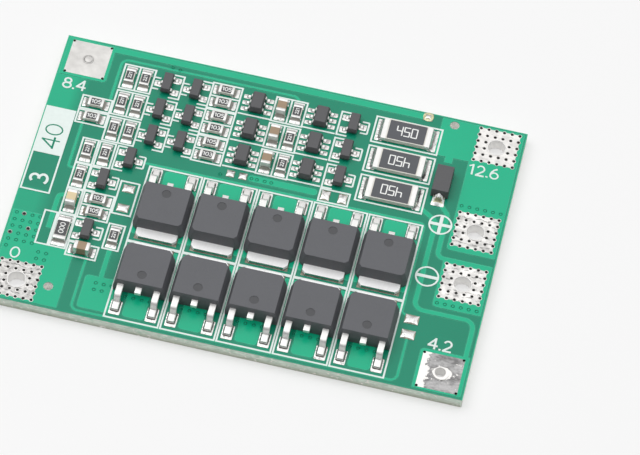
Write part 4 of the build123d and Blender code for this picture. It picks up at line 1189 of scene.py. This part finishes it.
class BOARD_OT_small_cases(bpy.types.Operator):
    """Small transistor and monitor cases with their gull-wing leads, and the diode"""

    bl_idname = "board.small_cases"
    bl_label = "Small cases"

    def execute(self, context):
        edge = context.scene.part_shapes.small_edge
        fine = {"corner": 0, "edge": edge}
        size, heights = (1.3, 2.9), (0.08, 0.5, 1.0)
        case = moulded("transistor_case", size, heights, draft=(0.1, 0.17), undercut=0.16, **fine)
        size, heights = (1.74, 2.9), (0.08, 0.5, 1.1)
        monitor = moulded("monitor_case", size, heights, draft=(0.19, 0.22), undercut=0.1, **fine)
        for model in (case, monitor):
            smooth(model, 40)
            coat(model, "small_case_epoxy")
        finish = "small_tin_plated_lead"
        strip = {"width": 0.4, "thick": 0.12, "rise": 0.48, "run": 0.17, "bend": 0.06, "finish": finish}
        short = stamped_lead("transistor_lead", root=0.6, slope=0.12, foot=0.31, **strip)
        longer = stamped_lead("monitor_lead", root=0.75, slope=0.14, foot=0.34, **strip)
        three = join("three_leads", copies(short, [(0, 0, 0, 90), (0, -pitch, 0, -90), (0, pitch, 0, -90)]))
        rows = (-pitch, 0, pitch)
        six = join("six_leads", copies(longer, [(0, y, 0, turn) for turn in (-90, 90) for y in rows]))
        for group in groups:
            spots = transistor_spots(group, seat)
            piece = join(f"{group}_transistor_cases", copies(case, spots))
            carry(piece, "moulding", f"{group}_transistors")
            leads = copies(three, spots)
            for kind, spot in monitor_spots(group, seat):
                piece = join(f"{group}_{kind}_case", copies(monitor, [spot]))
                carry(piece, "moulding", f"{group}_{kind}_chip")
                leads += copies(six, [spot])
            carry(join(f"{group}_lead_set", leads), "leadframe", f"{group}_leads")
        drop(case, monitor, short, longer, three, six)

        x, y, _ = middle_of("diode_case")
        diode = moulded("diode_body", (2.2, 4.1), (0, 0.7, 1.4), draft=(0.04, 0.06), **fine)
        smooth(diode, 40)
        coat(diode, "small_case_epoxy")
        piece = join("diode_body", copies(diode, [(x, y, seat, 0)]))
        carry(piece, "moulding", "diode_case")
        strap = block("strap", (1.5, 0.42, 0.4), (0, 2.26, 0.2))
        edit(strap)
        pick(strap, "FACE", lambda middle, normal: normal.y > 0.9)
        stretch(0.85, 1, 0.96)
        pick(strap, "EDGE", lambda a, b: min(a.y, b.y) > 2.4)
        round_edges(0.1 * MM, 3)
        done()
        smooth(strap, 50)
        coat(strap, "stain_and_shade_tin")
        both = copies(strap, [(x, y, seat, turn) for turn in (0, 180)])
        carry(join("diode_straps", both), "leadframe", "diode_leads")
        drop(diode, strap)
        return {"FINISHED"}


def hollow(distance, reach, height):
    """Height of a hollow fillet that is full at no distance and nothing at its reach."""
    return height * max(0.0, 1 - max(0.0, distance) / reach) ** 2


class BOARD_OT_solder(bpy.types.Operator):
    """Solder that climbs from each pad to its chip end, lead or tab"""

    bl_idname = "board.solder"
    bl_label = "Solder"

    def end_pool(self, name, size, inner, half_length, half_width, top, dull=True):
        """Solder at one end of a chip along X; it climbs the plated end to that top, mostly painted dull grey
        there, partly as painted shade.
        """
        reach = inner + size[0] - half_length

        def height(x, y):
            beside = max(0.0, abs(y) - half_width * 0.8) / (size[1] / 2 - half_width * 0.8)
            if x < half_length - 0.01:
                return 0.02
            return hollow(x - half_length, reach * 0.7, top) * (1 - beside)

        across = [half_length + 0.02 + reach * share for share in (0, 0.15, 0.3, 0.48, 0.68)]
        across.insert(0, half_length - 0.04)
        along = [side * size[1] / 2 * share for side in (-1, 1) for share in (0.93, 0.8, 0.5)]
        made = pool(name, size, (inner + size[0] / 2, 0), across, along, height, self.rim)

        def climb(middle, normal):
            return half_length < middle.x < half_length + reach * 0.4 and abs(middle.y) < half_width

        coat(made, "reflowed_solder", *([("dull_shaded_solder", climb)] if dull else []))
        return made

    def foot_pool(self, name, size, inner, tip, half_foot, top, stained=False):
        """Solder round a lead's foot on a pad along X; it climbs the foot's sides and tip."""
        spread = size[1] / 2 - half_foot

        def away(x, y):
            return math.hypot(max(0.0, x - tip), max(0.0, abs(y) - half_foot))

        def height(x, y):
            return hollow(away(x, y) - 0.02, spread * 0.6, top)

        across = [tip - 0.3, tip, tip + 0.04, tip + spread * 0.3, tip + spread * 0.62]
        along = [side * (half_foot + spread * share) for side in (-1, 1) for share in (0, 0.12, 0.35, 0.62)]
        made = pool(name, size, (inner + size[0] / 2, 0), across, along, height, self.rim)

        def stain(middle, normal):
            return 0.03 < away(middle.x, middle.y) < spread * 0.4

        coat(made, "reflowed_solder", *([("stain_and_shade_tin", stain)] if stained else []))
        return made

    def execute(self, context):
        self.rim = context.scene.part_shapes.pad_rim / MM
        chips = [spot for group in groups for spot in spots_of(f"{group}_resistors", face)]
        caps = [spot for node in capacitor_nodes for spot in spots_of(node, face)]
        body = {"inner": 0.7, "half_length": 1.0, "half_width": 0.625}
        small = self.end_pool("resistor_pool", (1.0, 1.4), top=0.42, **body)
        tall = self.end_pool("capacitor_pool", (1.0, 1.4), top=0.6, **body)
        body = {"inner": 1.3, "half_length": 1.6, "half_width": 0.8}
        link = self.end_pool("link_pool", (1.0, 1.75), top=0.44, **body)
        made = []
        for model, spots in ((small, chips), (tall, caps), (link, spots_of("link_resistor", face))):
            for x, y, z, turn in spots:
                made += copies(model, [(x, y, z, turn), (x, y, z, turn + 180)])
        half_foot = 0.2
        single = self.foot_pool("transistor_pool", (1.0, 0.9), 0.65, 1.2, half_foot, top=0.11)
        narrow = self.foot_pool("monitor_pool", (0.95, 0.6), 1.0, 1.4, half_foot, top=0.09)
        for group in groups:
            for x, y, z, turn in transistor_spots(group, face):
                spots = [(x, y, z, turn + 180), (x, y - pitch, z, turn), (x, y + pitch, z, turn)]
                made += copies(single, spots)
            for _, (x, y, z, _) in monitor_spots(group, face):
                spots = [(x, y + row, z, turn) for row in (-pitch, 0, pitch) for turn in (0, 180)]
                made += copies(narrow, spots)
        carry(join("small_joints", made), "solder", "small_part_solder")
        drop(small, tall, link, single, narrow)

        foot = self.foot_pool("power_pool", (2.05, 1.4), 4.425, 5.975, 0.4, top=0.22, stained=True)

        def low_step(x, y):
            return 0.03 if abs(x) < 2.65 and y > -4.25 else 0.0

        bed = pool("tab_pool", (5.4, 4.275), (0, -2.2375), (-2.62, 2.62), (-4.3, -4.2), low_step, self.rim)
        # the strip of pad in front of the tab is painted dark, partly a flux stain and partly painted shade
        # under the tab's front
        coat(bed, "stain_and_shade_tin")
        body = {"inner": 2.875, "half_length": 3.175, "half_width": 1.6}
        fold = self.end_pool("balance_pool", (1.05, 3.35), top=0.55, dull=False, **body)
        made = []
        for x, y, z, turn in power_spots(face):
            made += copies(bed, [(x, y, z, turn)])
            made += copies(foot, [(x + side * outer_pitch, y, z, turn + 90) for side in (-1, 1)])
        for order in (1, 2, 3):
            ((x, y, z, _),) = spots_of(f"balance_resistor_{order}", face)
            made += copies(fold, [(x, y, z, 0), (x, y, z, 180)])

        # solder stands as a wedge against the diode's near strap, and lies flat at the far one
        def wedge(x, y):
            if x < 2.06:
                return 0.02
            beside, beyond = 1 - abs(y) / 0.8, 1 - max(0.0, x - 2.48) / 0.7
            return 1.05 * max(0.0, beside) ** 0.9 * max(0.0, beyond) ** 1.4

        across = (2.05, 2.1, 2.48, 2.58, 2.68, 2.8, 2.95)
        along = [side * place for side in (-1, 1) for place in (0.07, 0.2, 0.34, 0.48, 0.62, 0.76)]
        heel = pool("diode_pool", (1.65, 1.65), (2.575, 0), across, sorted(along), wedge, self.rim)

        def browned(middle, normal):
            return middle.x < 2.9 and 0.12 < middle.z < 0.85 and abs(middle.y) < 0.65 - middle.z / 2

        # the top of the wedge is painted white, a painted highlight, and a band on its sides is browned by
        # flux
        painted_highlight = ("dipped_tab_and_highlight", lambda middle, normal: middle.z > 0.1)
        coat(heel, "reflowed_solder", painted_highlight, ("fluxed_tin", browned))
        x, y, _ = middle_of("diode_case")
        made += copies(heel, [(x, y, face, -90)])
        across, along = (2.5, 2.65), (-0.62, 0.62)
        short = pool("short_pool", (1.0, 1.65), (2.25, 0), across, along, lambda x, y: 0.02, self.rim)
        coat(short, "reflowed_solder")
        made += copies(short, [(x, y, face, 90)])
        carry(join("power_joints", made), "solder", "power_part_solder")
        drop(foot, bed, fold, heel, short)
        return {"FINISHED"}


class BOARD_OT_labels(bpy.types.Operator):
    """Plain numbers beside the lands and in the rating block"""

    bl_idname = "board.labels"
    bl_label = "Numbers"

    def execute(self, context):
        height = context.scene.part_shapes.digit_height / MM
        volts = (("8.4", -27.3, 13.15), ("12.6", 25.7, 13.32), ("4.2", 25.78, -13.42), ("0", -27.85, -13.55))
        level = (face - 0.02, ink_face + 0.01)
        made = [number(text, height, 0.26, (x, y, 0), *level) for text, x, y in volts]
        made.append(number("3", 2.15, 0.36, (-27.9, -2.04, 90), *level))
        labels = join("terminal_numbers", made)
        coat(labels, "printed_ink")
        carry(labels, "ink")
        rating = number("40", 2.15, 0.34, (-27.95, 4.58, 90), *level)
        rating.name = "rating_number"
        coat(rating, "mask_beside_ink")
        carry(rating, "mask")
        return {"FINISHED"}


class BOARD_OT_stage(bpy.types.Operator):
    """Camera at the photograph's angle, pale floor and soft studio light"""

    bl_idname = "board.stage"
    bl_label = "Stage"

    def execute(self, context):
        setup = context.scene.stage_setup
        lens = bpy.data.cameras.new("camera")
        camera = bpy.data.objects.new("camera", lens)
        context.scene.collection.objects.link(camera)
        right = Vector((0.97356, 0.22207, 0.05359))
        down = Vector((0.21312, -0.79842, -0.56312))
        ahead = Vector((-0.08226, 0.55965, -0.82464))
        turn = Matrix((right, -down, -ahead)).transposed().to_4x4()
        camera.matrix_world = Matrix.Translation(setup.camera) @ turn
        lens.sensor_width = 36
        lens.lens = setup.lens
        lens.clip_start = 0.01
        lens.clip_end = 20
        context.scene.camera = camera

        bpy.ops.object.select_all(action="DESELECT")
        # the floor lies just under the board, so that the two share no level
        bpy.ops.mesh.primitive_plane_add(size=6, location=(0, 0, -0.02 * MM))
        floor = settle("studio_floor")
        made = bpy.data.materials.new("studio_floor_paint")
        made.use_nodes = True
        tree = made.node_tree
        tree.nodes.clear()
        paint = {"Base Color": setup.floor, "Roughness": 0.9, "Specular IOR Level": 0.1}
        paint = add(tree, "ShaderNodeBsdfPrincipled", paint)
        # the paint glows faintly where it is seen, straight or in metal, so that shadows on it stay pale
        ray = add(tree, "ShaderNodeLightPath").outputs
        seen = ray["Is Camera Ray"]
        for other in ("Is Glossy Ray", "Is Transmission Ray"):
            seen = add(tree, "ShaderNodeMath", {0: seen, 1: ray[other]}, operation="MAXIMUM")
        seen = add(tree, "ShaderNodeMath", {0: seen, 1: 0.35}, operation="MULTIPLY")
        bright = add(tree, "ShaderNodeEmission", {"Color": setup.floor, "Strength": 1.03})
        surface = add(tree, "ShaderNodeMixShader", {0: seen, 1: paint, 2: bright})
        add(tree, "ShaderNodeOutputMaterial", {"Surface": surface})
        floor.data.materials.append(made)

        world = bpy.data.worlds.new("studio")
        context.scene.world = world
        world.use_nodes = True
        tree = world.node_tree
        tree.nodes.clear()
        way = add(tree, "ShaderNodeTexCoord").outputs["Generated"]
        way = add(tree, "ShaderNodeSeparateXYZ", {0: way})
        # the light comes softly from above and behind, and the room in front and below it is dim
        above = add(tree, "ShaderNodeMath", {0: way.outputs["Z"], 1: 2.0}, operation="POWER")
        above = {0: above, 1: 1.44 * setup.sky, 2: 0.1 * setup.sky}
        above = add(tree, "ShaderNodeMath", above, operation="MULTIPLY_ADD")
        behind = {0: way.outputs["Y"], 1: 0.25 * setup.sky, 2: above}
        behind = add(tree, "ShaderNodeMath", behind, operation="MULTIPLY_ADD")
        glow = add(tree, "ShaderNodeMath", {0: behind, 1: 0.04}, operation="MAXIMUM")
        back = add(tree, "ShaderNodeBackground", {"Color": (1, 1, 1, 1), "Strength": glow})
        add(tree, "ShaderNodeOutputWorld", {"Surface": back})
        lamp = bpy.data.lights.new("key_light", "AREA")
        lamp.shape = "RECTANGLE"
        lamp.size, lamp.size_y = 0.7, 0.5
        lamp.energy = setup.key
        key = bpy.data.objects.new("key_light", lamp)
        context.scene.collection.objects.link(key)
        key.location = (-0.45, 0.12, 0.65)
        key.rotation_mode = "QUATERNION"
        key.rotation_quaternion = (Vector((0, 0, 0)) - key.location).to_track_quat("-Z", "Y")
        context.scene.view_settings.view_transform = "Standard"
        return {"FINISHED"}


class BOARD_PT_panel(bpy.types.Panel):
    """Steps of the board's looks"""

    bl_idname = "BOARD_PT_panel"
    bl_label = "Board"
    bl_space_type = "VIEW_3D"
    bl_region_type = "UI"
    bl_category = "Board"

    def draw(self, context):
        for group in (context.scene.board_finish, context.scene.part_shapes, context.scene.stage_setup):
            box = self.layout.box()
            for name in group.__annotations__:
                box.prop(group, name)
        for step in steps:
            self.layout.operator(step.bl_idname)


steps = (
    BOARD_OT_finishes,
    BOARD_OT_base,
    BOARD_OT_lands,
    BOARD_OT_power_transistors,
    BOARD_OT_small_chips,
    BOARD_OT_large_resistors,
    BOARD_OT_small_cases,
    BOARD_OT_solder,
    BOARD_OT_labels,
    BOARD_OT_stage,
)
classes = (BoardFinish, PartShapes, StageSetup, *steps, BOARD_PT_panel)


def register():
    """Register the classes and give the scene their settings."""
    for item in classes:
        bpy.utils.register_class(item)
    bpy.types.Scene.board_finish = PointerProperty(type=BoardFinish)
    bpy.types.Scene.part_shapes = PointerProperty(type=PartShapes)
    bpy.types.Scene.stage_setup = PointerProperty(type=StageSetup)


def unregister():
    """Take it all back."""
    del bpy.types.Scene.board_finish
    del bpy.types.Scene.part_shapes
    del bpy.types.Scene.stage_setup
    for item in reversed(classes):
        bpy.utils.unregister_class(item)


def main():
    """Build the looks in order."""
    register()
    bpy.ops.board.finishes()
    bpy.ops.board.base()
    bpy.ops.board.lands()
    bpy.ops.board.power_transistors()
    bpy.ops.board.small_chips()
    bpy.ops.board.large_resistors()
    bpy.ops.board.small_cases()
    bpy.ops.board.solder()
    bpy.ops.board.labels()
    bpy.ops.board.stage()


if __name__ == "__main__":
    main()
